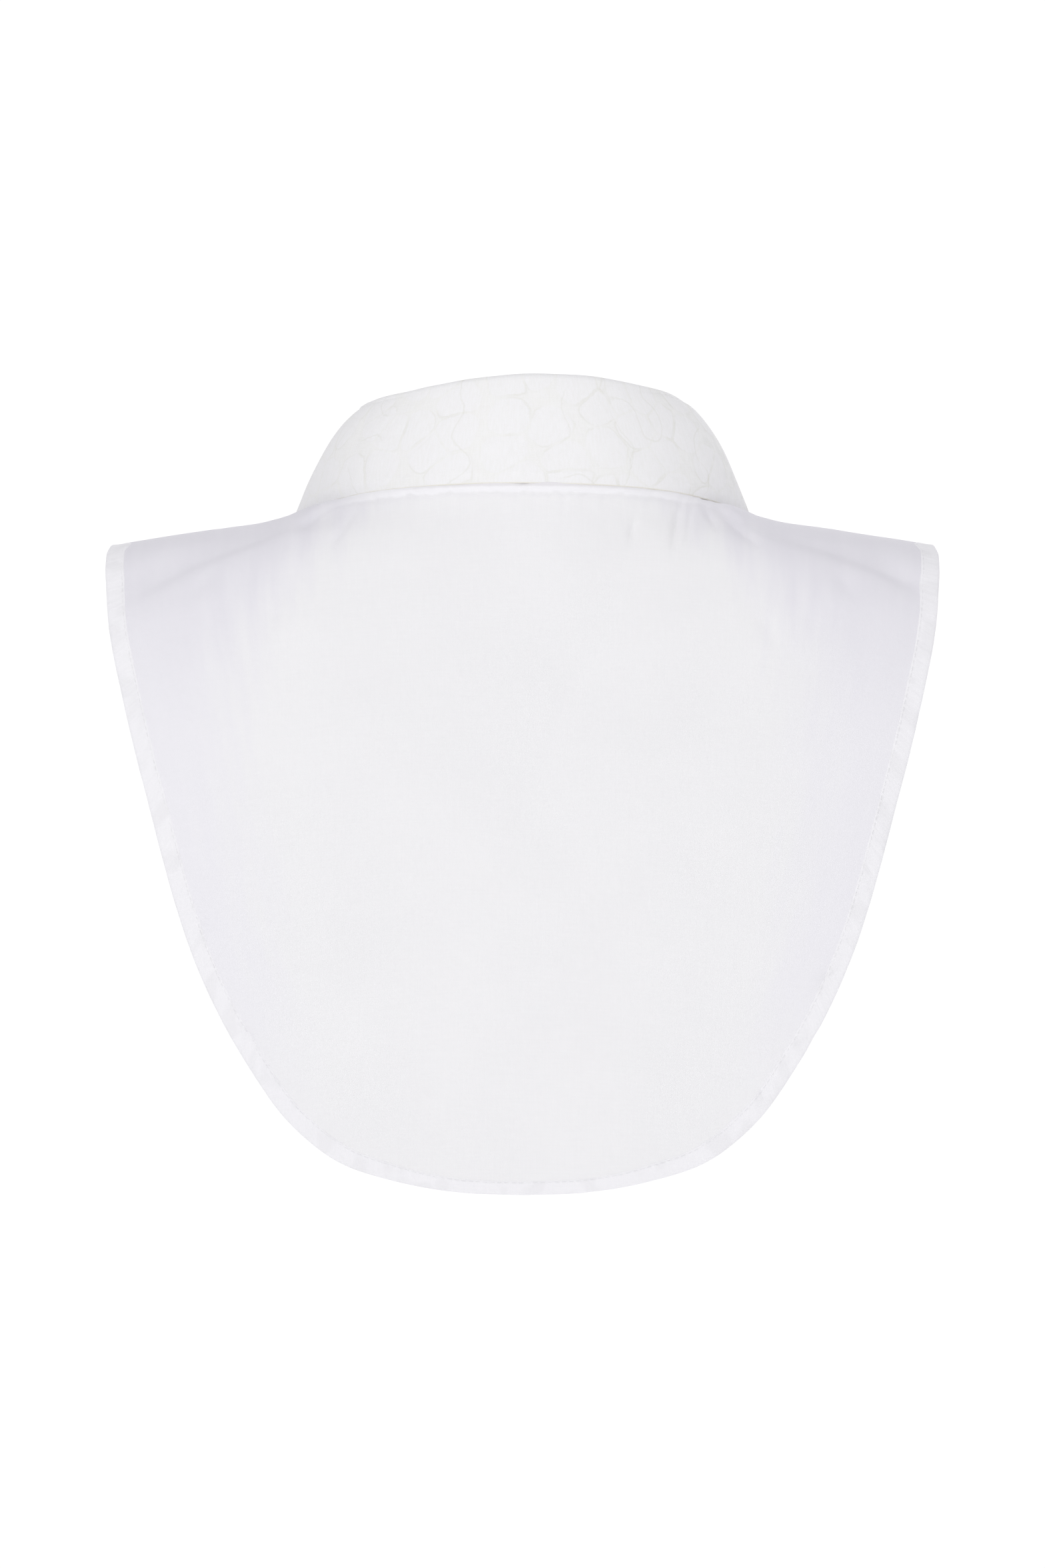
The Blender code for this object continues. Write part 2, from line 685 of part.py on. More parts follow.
def add_buttons(material, collection, cutters):
    """One button on the stand and two down the lapped edge of the right front."""
    angle = -180.0
    top = stand_point(angle, 0.45)
    base = stand_point(angle, 0.55)
    side = stand_point(angle + TINY_ANGLE, 0.5) - stand_point(angle - TINY_ANGLE, 0.5)
    normal = side.cross(base - top).normalized()
    seat = stand_point(angle, 0.5) + normal * (STAND_WALL + SEAM_GAP)
    add_button("stand_button", seat, normal, material, collection, cutters)
    for number, out in enumerate(BUTTON_DROPS, start=1):
        normal = bare_normal(angle, out)
        seat = panel_point(angle, out) + normal * (HEM_WALL + SEAM_GAP)
        add_button(f"front_button_{number}", seat, normal, material, collection, cutters)


def build():
    """Clear the scene and build every piece."""
    for item in list(bpy.data.objects):
        bpy.data.objects.remove(item)
    collection = bpy.data.collections.new(COLLECTION)
    cutters = bpy.data.collections.new(CUTTERS)
    bpy.context.scene.collection.children.link(collection)
    bpy.context.scene.collection.children.link(cutters)
    bib_cloth = new_material("bib_cloth", (0.86, 0.86, 0.89), 0.85)
    collar_cloth = new_material("collar_cloth", (0.87, 0.87, 0.85), 0.80)
    button_shell = new_material("button_shell", (0.88, 0.88, 0.86), 0.30)
    add_back_panel(bib_cloth, collection)
    add_front_panel("front_panel_left", 1, bib_cloth, collection)
    add_front_panel("front_panel_right", -1, bib_cloth, collection)
    add_stand(collar_cloth, collection)
    add_leaf(collar_cloth, collection)
    add_buttons(button_shell, collection, cutters)


build()
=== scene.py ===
"""Dressed model of a detachable collar, shaped as put on: bib panels, stand, leaf, buttons and
sewing.

Up is +Z, the garment faces -Y and the camera looks at its back. Lengths are in metres. Angles
round the neck start at the centre back, reach +90 degrees at the left shoulder ridge and +180
at the centre front.
"""
from __future__ import annotations

import logging
import math
from dataclasses import dataclass, field
from enum import Enum
from typing import Callable, Sequence, Union

import bmesh
import bpy
from mathutils import Matrix, Vector, noise


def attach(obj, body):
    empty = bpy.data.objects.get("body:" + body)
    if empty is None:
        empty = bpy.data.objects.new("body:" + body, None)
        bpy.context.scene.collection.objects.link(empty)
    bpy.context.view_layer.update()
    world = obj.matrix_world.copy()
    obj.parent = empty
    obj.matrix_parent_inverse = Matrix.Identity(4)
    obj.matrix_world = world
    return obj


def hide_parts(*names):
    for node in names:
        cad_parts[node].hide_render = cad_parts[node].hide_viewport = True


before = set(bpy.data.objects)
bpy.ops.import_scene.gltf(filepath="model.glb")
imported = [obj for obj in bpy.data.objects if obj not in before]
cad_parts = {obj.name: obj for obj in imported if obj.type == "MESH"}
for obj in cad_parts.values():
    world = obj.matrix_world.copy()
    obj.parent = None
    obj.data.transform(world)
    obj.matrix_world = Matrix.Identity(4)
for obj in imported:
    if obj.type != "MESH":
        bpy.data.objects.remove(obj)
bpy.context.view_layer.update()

LOG = logging.getLogger("collar")
RIDGE = 90.0
Pair = tuple[float, float]
Colour = tuple[float, float, float]
Path = Sequence[tuple[Vector, Vector]]


class Side(Enum):
    """Which half of the garment a front piece belongs to."""

    LEFT = 1
    RIGHT = -1


class Cloth(Enum):
    """Names of the material slots for the bib cloth and the collar cloth."""

    BIB = "bib_cloth"
    COLLAR = "collar_cloth"


def ease(value: float) -> float:
    """Ease a value from 0 to 1 with flat ends.

    Args:
        value: Any number; it is held between 0 and 1.

    Returns:
        The eased value.
    """
    held = min(max(value, 0.0), 1.0)
    return held * held * (3.0 - 2.0 * held)


def bump(value: float, middle: float, reach: float) -> float:
    """Smooth rise from 0 to 1 and back, at most a reach away from its middle."""
    return ease(1.0 - abs(value - middle) / reach)


def spaced(low: float, high: float, steps: int) -> list[float]:
    """Evenly spaced values from low to high, one more than there are steps."""
    return [low + (high - low) * i / steps for i in range(steps + 1)]


def run_along(points: Sequence[Vector]) -> list[float]:
    """Measure along a row of points.

    Args:
        points: The points.

    Returns:
        The distance travelled at each of them.
    """
    run = [0.0]
    for start, end in zip(points, points[1:]):
        run.append(run[-1] + (end - start).length)
    return run


def as_object(
    name: str, shape: bmesh.types.BMesh, material: bpy.types.Material
) -> bpy.types.Object:
    """Turn a mesh in the making into an object of the scene.

    Args:
        name: Name of the object and its mesh.
        shape: Mesh in the making, freed here.
        material: Its finish.

    Returns:
        The object, at the origin.
    """
    mesh = bpy.data.meshes.new(name)
    shape.to_mesh(mesh)
    shape.free()
    mesh.materials.append(material)
    made = bpy.data.objects.new(name, mesh)
    bpy.context.scene.collection.objects.link(made)
    return made


def settle(piece: bpy.types.Object, node: str = "") -> bpy.types.Object:
    """Attach a piece to the root body, and hide the CAD node it replaces, if any.

    Args:
        piece: The piece.
        node: Name of the node, or nothing where the piece is added.

    Returns:
        The piece.
    """
    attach(piece, "root")
    if node:
        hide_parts(node)
    return piece


@dataclass(frozen=True)
class Table:
    """Short table with named columns, read with a smooth curve through its rows."""

    columns: tuple[str, ...]
    rows: tuple[tuple[float, ...], ...]

    def at(self, name: str, key: float) -> float:
        """Read one column at a key in the first column.

        Args:
            name: Name of the column.
            key: Value in the first column.

        Returns:
            The smoothly interpolated value.
        """
        rows = self.rows
        column = self.columns.index(name)
        if key <= rows[0][0]:
            return rows[0][column]
        if key >= rows[-1][0]:
            return rows[-1][column]
        low = 0
        while rows[low + 1][0] < key:
            low += 1
        start, end = rows[low], rows[low + 1]
        before, after = rows[max(low - 1, 0)], rows[min(low + 2, len(rows) - 1)]
        span = end[0] - start[0]
        part = (key - start[0]) / span
        slope_in = span * (end[column] - before[column]) / (end[0] - before[0])
        slope_out = span * (after[column] - start[column]) / (after[0] - start[0])
        square, cube = part * part, part * part * part
        return (
            (2 * cube - 3 * square + 1) * start[column]
            + (cube - 2 * square + part) * slope_in
            + (3 * square - 2 * cube) * end[column]
            + (cube - square) * slope_out
        )


@dataclass(frozen=True)
class Outline:
    """Edge of a bib from the shoulder tip to the middle of its lower edge, seen from behind."""

    points: tuple[Pair, ...]

    @property
    def length(self) -> float:
        """Length along the points."""
        return sum(math.dist(a, b) for a, b in zip(self.points, self.points[1:]))

    def walk(self, share: float) -> Pair:
        """Find the point at a share of the length.

        Args:
            share: From 0 at the tip to 1 at the middle of the lower edge.

        Returns:
            The distance across and the height.
        """
        lengths = [0.0]
        for start, end in zip(self.points, self.points[1:]):
            lengths.append(lengths[-1] + math.dist(start, end))
        rows = tuple((at, *point) for at, point in zip(lengths, self.points))
        table = Table(("length", "across", "up"), rows)
        goal = share * lengths[-1]
        return table.at("across", goal), table.at("up", goal)

    def across_at(self, up: float) -> float:
        """Find the edge at a height, by straight steps between the points.

        Args:
            up: Height.

        Returns:
            The distance across.
        """
        for (wide, high), (slim, low) in zip(self.points, self.points[1:]):
            if up > low:
                return wide + (slim - wide) * min(max((high - up) / (high - low), 0.0), 1.0)
        return self.points[-1][0]


@dataclass(frozen=True)
class Fold:
    """One soft trough (below 0) or ridge, drawn as a line seen from behind."""

    x0: float
    z0: float
    x1: float
    z1: float
    half_width: float
    height: float
    reach: float = 3.0
    least: float = 0.35

    def at(self, x: float, z: float) -> float:
        """Height of the fold at a point.

        Args:
            x: Distance across.
            z: Height.

        Returns:
            How far the cloth moves out, in metres.
        """
        along_x, along_z = self.x1 - self.x0, self.z1 - self.z0
        share = (x - self.x0) * along_x + (z - self.z0) * along_z
        share /= along_x**2 + along_z**2
        held = min(max(share, 0.0), 1.0)
        gap = math.hypot(x - self.x0 - held * along_x, z - self.z0 - held * along_z)
        if gap > self.reach * self.half_width:
            return 0.0
        fading = self.least + (1.0 - self.least) * math.sin(math.pi * held)
        return self.height * fading * math.exp(-((gap / self.half_width) ** 2))


@dataclass
class BodyForm:
    """Smooth form that the bib follows when put on, by level and by lines that run out from the
    neck.
    """

    neck_half_width: float = 0.0620
    side_level: float = -0.0010
    back_rise: float = 0.0105
    front_fall: float = 0.0470
    front_fall_power: float = 1.5
    back_rise_fade: float = 0.060
    ridge_slope: float = 0.1548
    tip_half_width: float = 0.1610
    width_below_tip: float = 0.045
    width_fade: float = 0.0070
    floor_level: float = -0.290
    placket_angle: float = 167.0
    placket_half_width: float = 0.0139
    crowding: float = 0.5
    sections: Table = Table(
        ("level", "back", "front", "power"),
        (
            (-0.290, 0.0800, 0.0980, 2.20),
            (-0.200, 0.0870, 0.1045, 2.20),
            (-0.150, 0.0880, 0.1050, 2.20),
            (-0.100, 0.0825, 0.0985, 2.20),
            (-0.060, 0.0740, 0.0880, 2.10),
            (-0.030, 0.0672, 0.0775, 1.70),
            (-0.016, 0.0638, 0.0720, 1.45),
            (-0.008, 0.0622, 0.0690, 1.50),
            (0.000, 0.0610, 0.0660, 2.00),
        ),
    )
    back: Outline = Outline(
        (
            (0.1610, -0.01633),
            (0.1624, -0.0200),
            (0.1624, -0.0317),
            (0.1603, -0.0525),
            (0.1561, -0.0733),
            (0.1513, -0.0941),
            (0.1459, -0.1149),
            (0.1405, -0.1357),
            (0.1347, -0.1565),
            (0.1276, -0.1773),
            (0.1183, -0.1981),
            (0.1064, -0.2189),
            (0.0915, -0.2397),
            (0.0724, -0.2553),
            (0.0500, -0.2631),
            (0.0250, -0.2675),
            (0.0000, -0.2686),
        )
    )
    front: Outline = Outline(
        (
            (0.1610, -0.01633),
            (0.1608, -0.0200),
            (0.1600, -0.0317),
            (0.1572, -0.0525),
            (0.1528, -0.0733),
            (0.1478, -0.0941),
            (0.1424, -0.1149),
            (0.1368, -0.1357),
            (0.1306, -0.1565),
            (0.1228, -0.1773),
            (0.1126, -0.1981),
            (0.0998, -0.2175),
            (0.0840, -0.2355),
            (0.0650, -0.2490),
            (0.0440, -0.2570),
            (0.0220, -0.2610),
            (0.0000, -0.2620),
        )
    )
    halvings: int = 30
    small_turn: float = 0.25
    small_step: float = 0.002
    most_hem: float = 0.2
    kept_ends: dict[float, Pair] = field(default_factory=dict)

    @property
    def tip_level(self) -> float:
        """Level of the shoulder tip."""
        return -(self.tip_half_width - self.neck_half_width) * self.ridge_slope

    def half_width(self, level: float) -> float:
        """Find half the width of the form.

        Args:
            level: Level on the form.

        Returns:
            Half the width.
        """
        if level >= self.tip_level:
            return self.neck_half_width - level / self.ridge_slope
        return self.tip_half_width + self.width_below_tip * (
            1.0 - math.exp((level - self.tip_level) / self.width_fade)
        )

    def point(self, across: float, level: float, behind: bool) -> Vector:
        """Point of the form at a distance across and a level.

        Args:
            across: Distance across, with its sign.
            level: Level on the form, 0 at the neck.
            behind: True on the back.

        Returns:
            The point.
        """
        depth = self.sections.at("back" if behind else "front", level)
        power = self.sections.at("power", level)
        share = min(abs(across) / self.half_width(level), 1.0)
        reach = (1.0 - share**power) ** (1.0 / power)
        if behind:
            rise = self.back_rise * reach * math.exp(level / self.back_rise_fade)
            return Vector((across, depth * reach, self.side_level + level + rise))
        fall = self.front_fall * reach**self.front_fall_power * (1.0 - level / self.floor_level)
        return Vector((across, -depth * reach, self.side_level + level - fall))

    def level_at(self, across: float, up: float, behind: bool) -> float:
        """Find the level of the form whose point stands at a height, by halving.

        Args:
            across: Distance across.
            up: Height.
            behind: True on the back.

        Returns:
            The level.
        """
        low, high = self.floor_level, 0.0
        if abs(across) > self.neck_half_width:
            high = -(abs(across) - self.neck_half_width) * self.ridge_slope
        if abs(across) > self.tip_half_width:
            share = (abs(across) - self.tip_half_width) / self.width_below_tip
            high = self.tip_level + self.width_fade * math.log(1.0 - share)
        for _ in range(self.halvings):
            middle = 0.5 * (low + high)
            if self.point(across, middle, behind).z < up:
                low = middle
            else:
                high = middle
        return 0.5 * (low + high)

    def crowded(self, share: float) -> float:
        """Share of the outline for a share of the angle, with lines crowded near the ridge."""
        return (1.0 + self.crowding) * share * share / (share + self.crowding)

    def outline_at(self, angle: float) -> Pair:
        """Find where the line at an angle ends.

        Args:
            angle: Angle round the neck.

        Returns:
            The distance across and the height of the outline there.
        """
        turn = abs(angle)
        if turn <= RIDGE:
            across, up = self.back.walk(self.crowded((RIDGE - turn) / RIDGE))
        elif turn <= self.placket_angle:
            most = 1.0 - self.placket_half_width / self.front.length
            span = (turn - RIDGE) / (self.placket_angle - RIDGE)
            across, up = self.front.walk(most * self.crowded(span))
        else:
            across = self.neck_half_width * math.sin(math.radians(turn))
            up = self.front.walk(1.0 - abs(across) / self.front.length)[1]
        return math.copysign(1.0, angle) * across, up

    def line_end(self, angle: float) -> Pair:
        """Find the outer end of a line on the form, and keep it for reuse.

        Args:
            angle: Angle of the line.

        Returns:
            The distance across and the level.
        """
        key = round(angle, 5)
        if key not in self.kept_ends:
            across, up = self.outline_at(angle)
            self.kept_ends[key] = (across, self.level_at(across, up, abs(angle) <= RIDGE))
        return self.kept_ends[key]

    def on_line(self, angle: float, out: float) -> Vector:
        """Find a point of the bare form.

        Args:
            angle: Angle of the line round the neck.
            out: Place on the line, from 0 at the neck seam to 1 at the outline.

        Returns:
            The point.
        """
        end_across, end_level = self.line_end(angle)
        start = self.neck_half_width * math.sin(math.radians(angle))
        return self.point(start + (end_across - start) * out, end_level * out, abs(angle) <= RIDGE)

    def normal(self, angle: float, out: float) -> Vector:
        """Find the form's outward direction.

        Args:
            angle: Angle of the line.
            out: Place on the line.

        Returns:
            The direction.
        """
        low, high = max(out - self.small_step, 0.0), min(out + self.small_step, 1.0)
        turn = self.small_turn
        sideways = self.on_line(angle + turn, out) - self.on_line(angle - turn, out)
        outward = self.on_line(angle, high) - self.on_line(angle, low)
        return sideways.cross(outward).normalized()

    def hem_share(self, angle: float, width: float) -> float:
        """Find the share of a line that a hem takes up.

        Args:
            angle: Angle of the line.
            width: Width of the hem, measured square to the edge.

        Returns:
            The share.
        """
        end = Vector(self.outline_at(angle))
        after, before = angle + self.small_turn, angle - self.small_turn
        along = Vector(self.outline_at(after)) - Vector(self.outline_at(before))
        start = Vector((self.neck_half_width * math.sin(math.radians(angle)), 0.0))
        span = end - start
        square = abs(span.x * along.y - span.y * along.x) / max(along.length, 1e-9)
        return min(width / max(square, width), self.most_hem)


BODY = BodyForm()


class Val:
    """Wraps a shader socket so that shader maths reads as an expression."""

    def __init__(self, shop: "NodeShop", socket: bpy.types.NodeSocket) -> None:
        """Keep the tree's node shop and the socket."""
        self.shop = shop
        self.socket = socket

    def _math(self, operation: str, *values: object) -> "Val":
        """Add one Math node on these values."""
        return self.shop.val("ShaderNodeMath", {"operation": operation}, dict(enumerate(values)))

    def __add__(self, other: object) -> "Val":
        """Sum."""
        return self._math("ADD", self, other)

    __radd__ = __add__

    def __mul__(self, other: object) -> "Val":
        """Product."""
        return self._math("MULTIPLY", self, other)

    __rmul__ = __mul__

    def __sub__(self, other: object) -> "Val":
        """Difference."""
        return self._math("SUBTRACT", self, other)

    def __rsub__(self, other: object) -> "Val":
        """Reflected difference."""
        return self._math("SUBTRACT", other, self)

    def __truediv__(self, other: object) -> "Val":
        """Quotient."""
        return self._math("DIVIDE", self, other)

    def __pow__(self, other: object) -> "Val":
        """Power."""
        return self._math("POWER", self, other)

    def __rpow__(self, other: object) -> "Val":
        """Reflected power."""
        return self._math("POWER", other, self)

    def soft_least(self, other: object, width: float) -> "Val":
        """Smaller of two values, rounded over a width where they meet."""
        return self._math("SMOOTH_MIN", self, other, width)

    def size(self) -> "Val":
        """Value without its sign."""
        return self._math("ABSOLUTE", self)

    def sin(self) -> "Val":
        """Sine."""
        return self._math("SINE", self)

    def held(self) -> "Val":
        """Value held between 0 and 1."""
        node = self.shop.node("ShaderNodeClamp", {}, {"Value": self})
        return Val(self.shop, node.outputs[0])

    def step(self, low: float, high: float) -> "Val":
        """Smooth step from 0 at low to 1 at high."""
        settings = {"interpolation_type": "SMOOTHSTEP"}
        inputs = {"Value": self, "From Min": low, "From Max": high}
        return self.shop.val("ShaderNodeMapRange", settings, inputs)


class NodeShop:
    """Adds nodes to one material's tree."""

    def __init__(self, name: str) -> None:
        """Make an empty material with a Principled shader.

        Args:
            name: Name of the material.
        """
        self.material = bpy.data.materials.new(name)
        self.material.use_nodes = True
        self.tree = self.material.node_tree
        self.shader = self.tree.nodes["Principled BSDF"]

    def node(self, kind: str, settings: dict, inputs: dict) -> bpy.types.Node:
        """Add a node.

        Args:
            kind: Node type.
            settings: Properties, set first.
            inputs: Values, Val objects or sockets by input name or number.

        Returns:
            The node.
        """
        made = self.tree.nodes.new(kind)
        for key, value in settings.items():
            setattr(made, key, value)
        for key, value in inputs.items():
            self.feed(made.inputs[key], value)
        return made

    def feed(self, socket: bpy.types.NodeSocket, value: object) -> None:
        """Link or set one input socket.

        Args:
            socket: The input.
            value: A Val or a socket to link, or a value to set.
        """
        if isinstance(value, Val):
            self.tree.links.new(value.socket, socket)
        elif isinstance(value, bpy.types.NodeSocket):
            self.tree.links.new(value, socket)
        else:
            socket.default_value = value

    def val(
        self, kind: str, settings: dict, inputs: dict, output: Union[int, str] = 0
    ) -> Val:
        """Add a node and wrap one of its outputs."""
        return Val(self, self.node(kind, settings, inputs).outputs[output])

    def uv(self, name: str, across: float = 1.0, down: float = 1.0) -> Val:
        """Read a UV map.

        Args:
            name: Name of the map.
            across: Scale on its first axis.
            down: Scale on its second axis.

        Returns:
            The scaled coordinates.
        """
        where = self.node("ShaderNodeUVMap", {"uv_map": name}, {})
        inputs = {"Vector": where.outputs[0], "Scale": (across, down, 1.0)}
        return self.val("ShaderNodeMapping", {}, inputs)

    def axes(self, vector: Val) -> tuple[Val, Val]:
        """First two numbers of a vector."""
        split = self.node("ShaderNodeSeparateXYZ", {}, {0: vector})
        return Val(self, split.outputs[0]), Val(self, split.outputs[1])

    def cloud(self, vector: Val, scale: float, detail: float = 2.0) -> Val:
        """Soft noise between 0 and 1."""
        inputs = {"Vector": vector, "Scale": scale, "Detail": detail}
        return self.val("ShaderNodeTexNoise", {"noise_dimensions": "2D"}, inputs)

    def blend(self, share: Val, low: Union[Colour, Val], high: Union[Colour, Val]) -> Val:
        """Mix two colours.

        Args:
            share: Share of the second colour.
            low: First colour.
            high: Second colour.

        Returns:
            The mixed colour.
        """
        made = self.node("ShaderNodeMix", {"data_type": "RGBA"}, {"Factor": share})
        for place, colour in ((6, low), (7, high)):
            self.feed(made.inputs[place], colour if isinstance(colour, Val) else (*colour, 1.0))
        return Val(self, made.outputs[2])

    def swayed(self, where: Val, scale: float, reach: float) -> Val:
        """Bend coordinates by soft noise.

        Args:
            where: The coordinates.
            scale: Scale of the noise.
            reach: How far they move each way.

        Returns:
            The bent coordinates.
        """
        inputs = {"Vector": where, "Scale": scale, "Detail": 1.0}
        cloud = self.val("ShaderNodeTexNoise", {"noise_dimensions": "2D"}, inputs, "Color")
        inputs = {0: cloud, 1: (0.5, 0.5, 0.5)}
        shifted = self.val("ShaderNodeVectorMath", {"operation": "SUBTRACT"}, inputs)
        inputs = {0: shifted, 1: (2.0 * reach, 2.0 * reach, 0.0), 2: where}
        return self.val("ShaderNodeVectorMath", {"operation": "MULTIPLY_ADD"}, inputs)

    def bump(
        self, height: Val, distance: float, strength: float, under: Union[Val, None] = None
    ) -> Val:
        """Add a bump.

        Args:
            height: Height between 0 and 1.
            distance: Depth in metres.
            strength: Strength.
            under: Another bump that this one lies on.

        Returns:
            The normal.
        """
        inputs: dict = {"Height": height, "Distance": distance, "Strength": strength}
        if under is not None:
            inputs["Normal"] = under
        return self.val("ShaderNodeBump", {}, inputs)

    def finish(
        self, color: Val, roughness: Union[Val, float], normal: Val, sheen: float
    ) -> bpy.types.Material:
        """Feed the shader.

        Args:
            color: Base colour.
            roughness: Roughness, a value or a number.
            normal: Normal.
            sheen: Sheen weight, the same all over.

        Returns:
            The material.
        """
        self.feed(self.shader.inputs["Base Color"], color)
        self.feed(self.shader.inputs["Roughness"], roughness)
        self.feed(self.shader.inputs["Normal"], normal)
        self.shader.inputs["Sheen Weight"].default_value = sheen
        self.shader.inputs["Specular IOR Level"].default_value = 0.25
        return self.material


@dataclass(frozen=True)
class PlainWeave:
    """Fine plain-weave cotton of the bib, doubled by the seam's turning below the leaf's edge."""

    name: str = "bib_plain_weave"
    pitch: float = 0.00052
    thread_scale: float = 1500.0
    slub_scale: float = 70.0
    broad_scale: float = 26.0
    weave_depth: float = 0.00008
    thread_depth: float = 0.00012
    gather_depth: float = 0.0011
    light: Colour = (0.893, 0.893, 0.895)
    shade: Colour = (0.872, 0.872, 0.875)
    doubled: Colour = (0.928, 0.925, 0.942)
    # Painted shade: the soft scalloped dip below the doubled strip, and darker stripes along the
    # hem.
    painted_shade_grey: Colour = (0.848, 0.845, 0.858)
    # Painted shade over the shoulders and down the sides, with a bluer tint under it.
    lilac: Colour = (0.788, 0.778, 0.820)
    tint: Colour = (0.884, 0.877, 0.915)
    # Painted shadow: the dark line just under the leaf's edge, across the middle of the back.
    seam: Colour = (0.760, 0.745, 0.760)
    scallop_height: float = 0.0034
    turning_width: float = 0.0031
    turning_reach: float = 0.072
    pucker_share: float = 0.0
    layering_and_shade_share: float = 0.55
    # Share and shape of the painted shade over the shoulders and down the sides.
    tint_share: float = 0.6
    side_start: float = 0.72
    shoulder_gain: float = 0.42
    shoulder_fade: float = 24.0
    shoulder_depth: float = 0.74
    depth_loss: float = 0.57

    def make(self) -> bpy.types.Material:
        """Build the material."""
        shop = NodeShop(self.name)
        across, down = shop.axes(shop.uv("weave"))
        turns = 2.0 * math.pi / self.pitch
        weave = (across * turns).sin() * (down * turns).sin() * 0.5 + 0.5
        warp = shop.cloud(shop.uv("weave", self.thread_scale, self.slub_scale), 1.0)
        weft = shop.cloud(shop.uv("weave", self.slub_scale, self.thread_scale), 1.0)
        threads = warp * 0.5 + weft * 0.5
        broad = shop.cloud(shop.uv("weave"), self.broad_scale, 3.0)
        share = (threads * 0.55 + broad * 0.45).step(0.30, 0.70)
        color = shop.blend(share, self.shade, self.light)
        normal = shop.bump(weave, self.weave_depth, 0.25)
        normal = shop.bump(threads, self.thread_depth, 0.35, normal)
        if self.pucker_share > 0.0:
            along = shop.cloud(shop.uv("edge", 430.0, 34.0), 1.0, 1.0)
            fine = shop.cloud(shop.uv("edge", 900.0, 60.0), 1.0, 1.0)
            pucker = along * 0.7 + fine * 0.3
            normal = shop.bump(pucker, self.gather_depth, self.pucker_share, normal)
            # Darker stripes along the hem: partly the sheer hem's uneven layering, partly painted
            # shade of its small gathers.
            layers = shop.cloud(shop.uv("edge", 95.0, 75.0), 1.0, 1.0)
            color = shop.blend(layers.step(0.50, 0.68) * self.layering_and_shade_share, color, self.painted_shade_grey)
        else:
            # Painted shade over the shoulders and down the sides.
            color = self.painted_side_shade(shop, color)
            # Doubled strip below the leaf's edge, with painted shade under it and a painted shadow
            # just under the leaf's edge.
            color, normal = self.turning(shop, color, normal)
        return shop.finish(color, 0.86 + threads * 0.08, normal, 0.12)

    def painted_side_shade(self, shop: NodeShop, color: Val) -> Val:
        """Add painted lilac shade over the shoulders and down the sides.

        Args:
            shop: Node shop of the material.
            color: Colour of the single cloth.

        Returns:
            The colour with it.
        """
        where = shop.uv("place")
        across, down = shop.axes(where)
        broad = shop.cloud(where, 24.0, 2.0)
        border = self.side_start - self.shoulder_gain * math.e ** (down * -self.shoulder_fade)
        reach = (across.size() - border + (broad - 0.5) * 0.20).step(-0.06, 0.22)
        reach = reach * (1.0 - down.step(0.17, 0.25))
        depth = self.shoulder_depth - down.step(0.02, 0.10) * self.depth_loss
        # Painted shade: a bluer tint, then lilac, deeper near the shoulders.
        color = shop.blend(reach * self.tint_share, color, self.tint)
        return shop.blend(reach * depth * (0.88 + broad * 0.5), color, self.lilac)

    def turning(self, shop: NodeShop, color: Val, normal: Val) -> tuple[Val, Val]:
        """Add the whiter strip of the neck seam's turning, with painted shade along its soft
        scalloped lower edge and a painted shadow just under the leaf's edge.

        Args:
            shop: Node shop of the material.
            color: Colour of the single cloth.
            normal: Normal of the single cloth.

        Returns:
            The colour and the normal.
        """
        along, below = shop.axes(shop.uv("edge"))
        scallop = shop.cloud(shop.uv("edge", 120.0, 20.0), 1.0, 1.0)
        fine = shop.cloud(shop.uv("edge", 330.0, 30.0), 1.0, 1.0)
        depth = below + (scallop * 0.7 + fine * 0.3 - 0.5) * self.scallop_height
        width, reach = self.turning_width, self.turning_reach
        here = 1.0 - along.size().step(reach - 0.016, reach + 0.010)
        strip = (1.0 - depth.step(width - 0.0007, width + 0.0005)) * here
        # Painted shade along the strip's soft scalloped lower edge.
        painted_edge_shade = (1.0 - (depth - width - 0.0011).size().step(0.0, 0.0019)) * here
        color = shop.blend(strip * (0.75 + scallop * 0.3), color, self.doubled)
        color = shop.blend(painted_edge_shade * (0.30 + fine * 0.5), color, self.painted_shade_grey)
        # Painted shadow of the leaf's edge: a dark line just under it, across the middle of the
        # back.
        middle = 1.0 - along.size().step(0.030, 0.064)
        seam = (1.0 - (below + fine * 0.0004).step(0.0006, 0.0017)) * middle
        color = shop.blend(seam * 0.7, color, self.seam)
        near = (1.0 - (below - 0.0048).size().step(0.0, 0.0056)) * here
        gather = (fine * 0.6 + scallop * 0.4) * near
        height = strip * 0.35 + gather * 0.65
        return color, shop.bump(height, self.gather_depth, 0.30, normal)


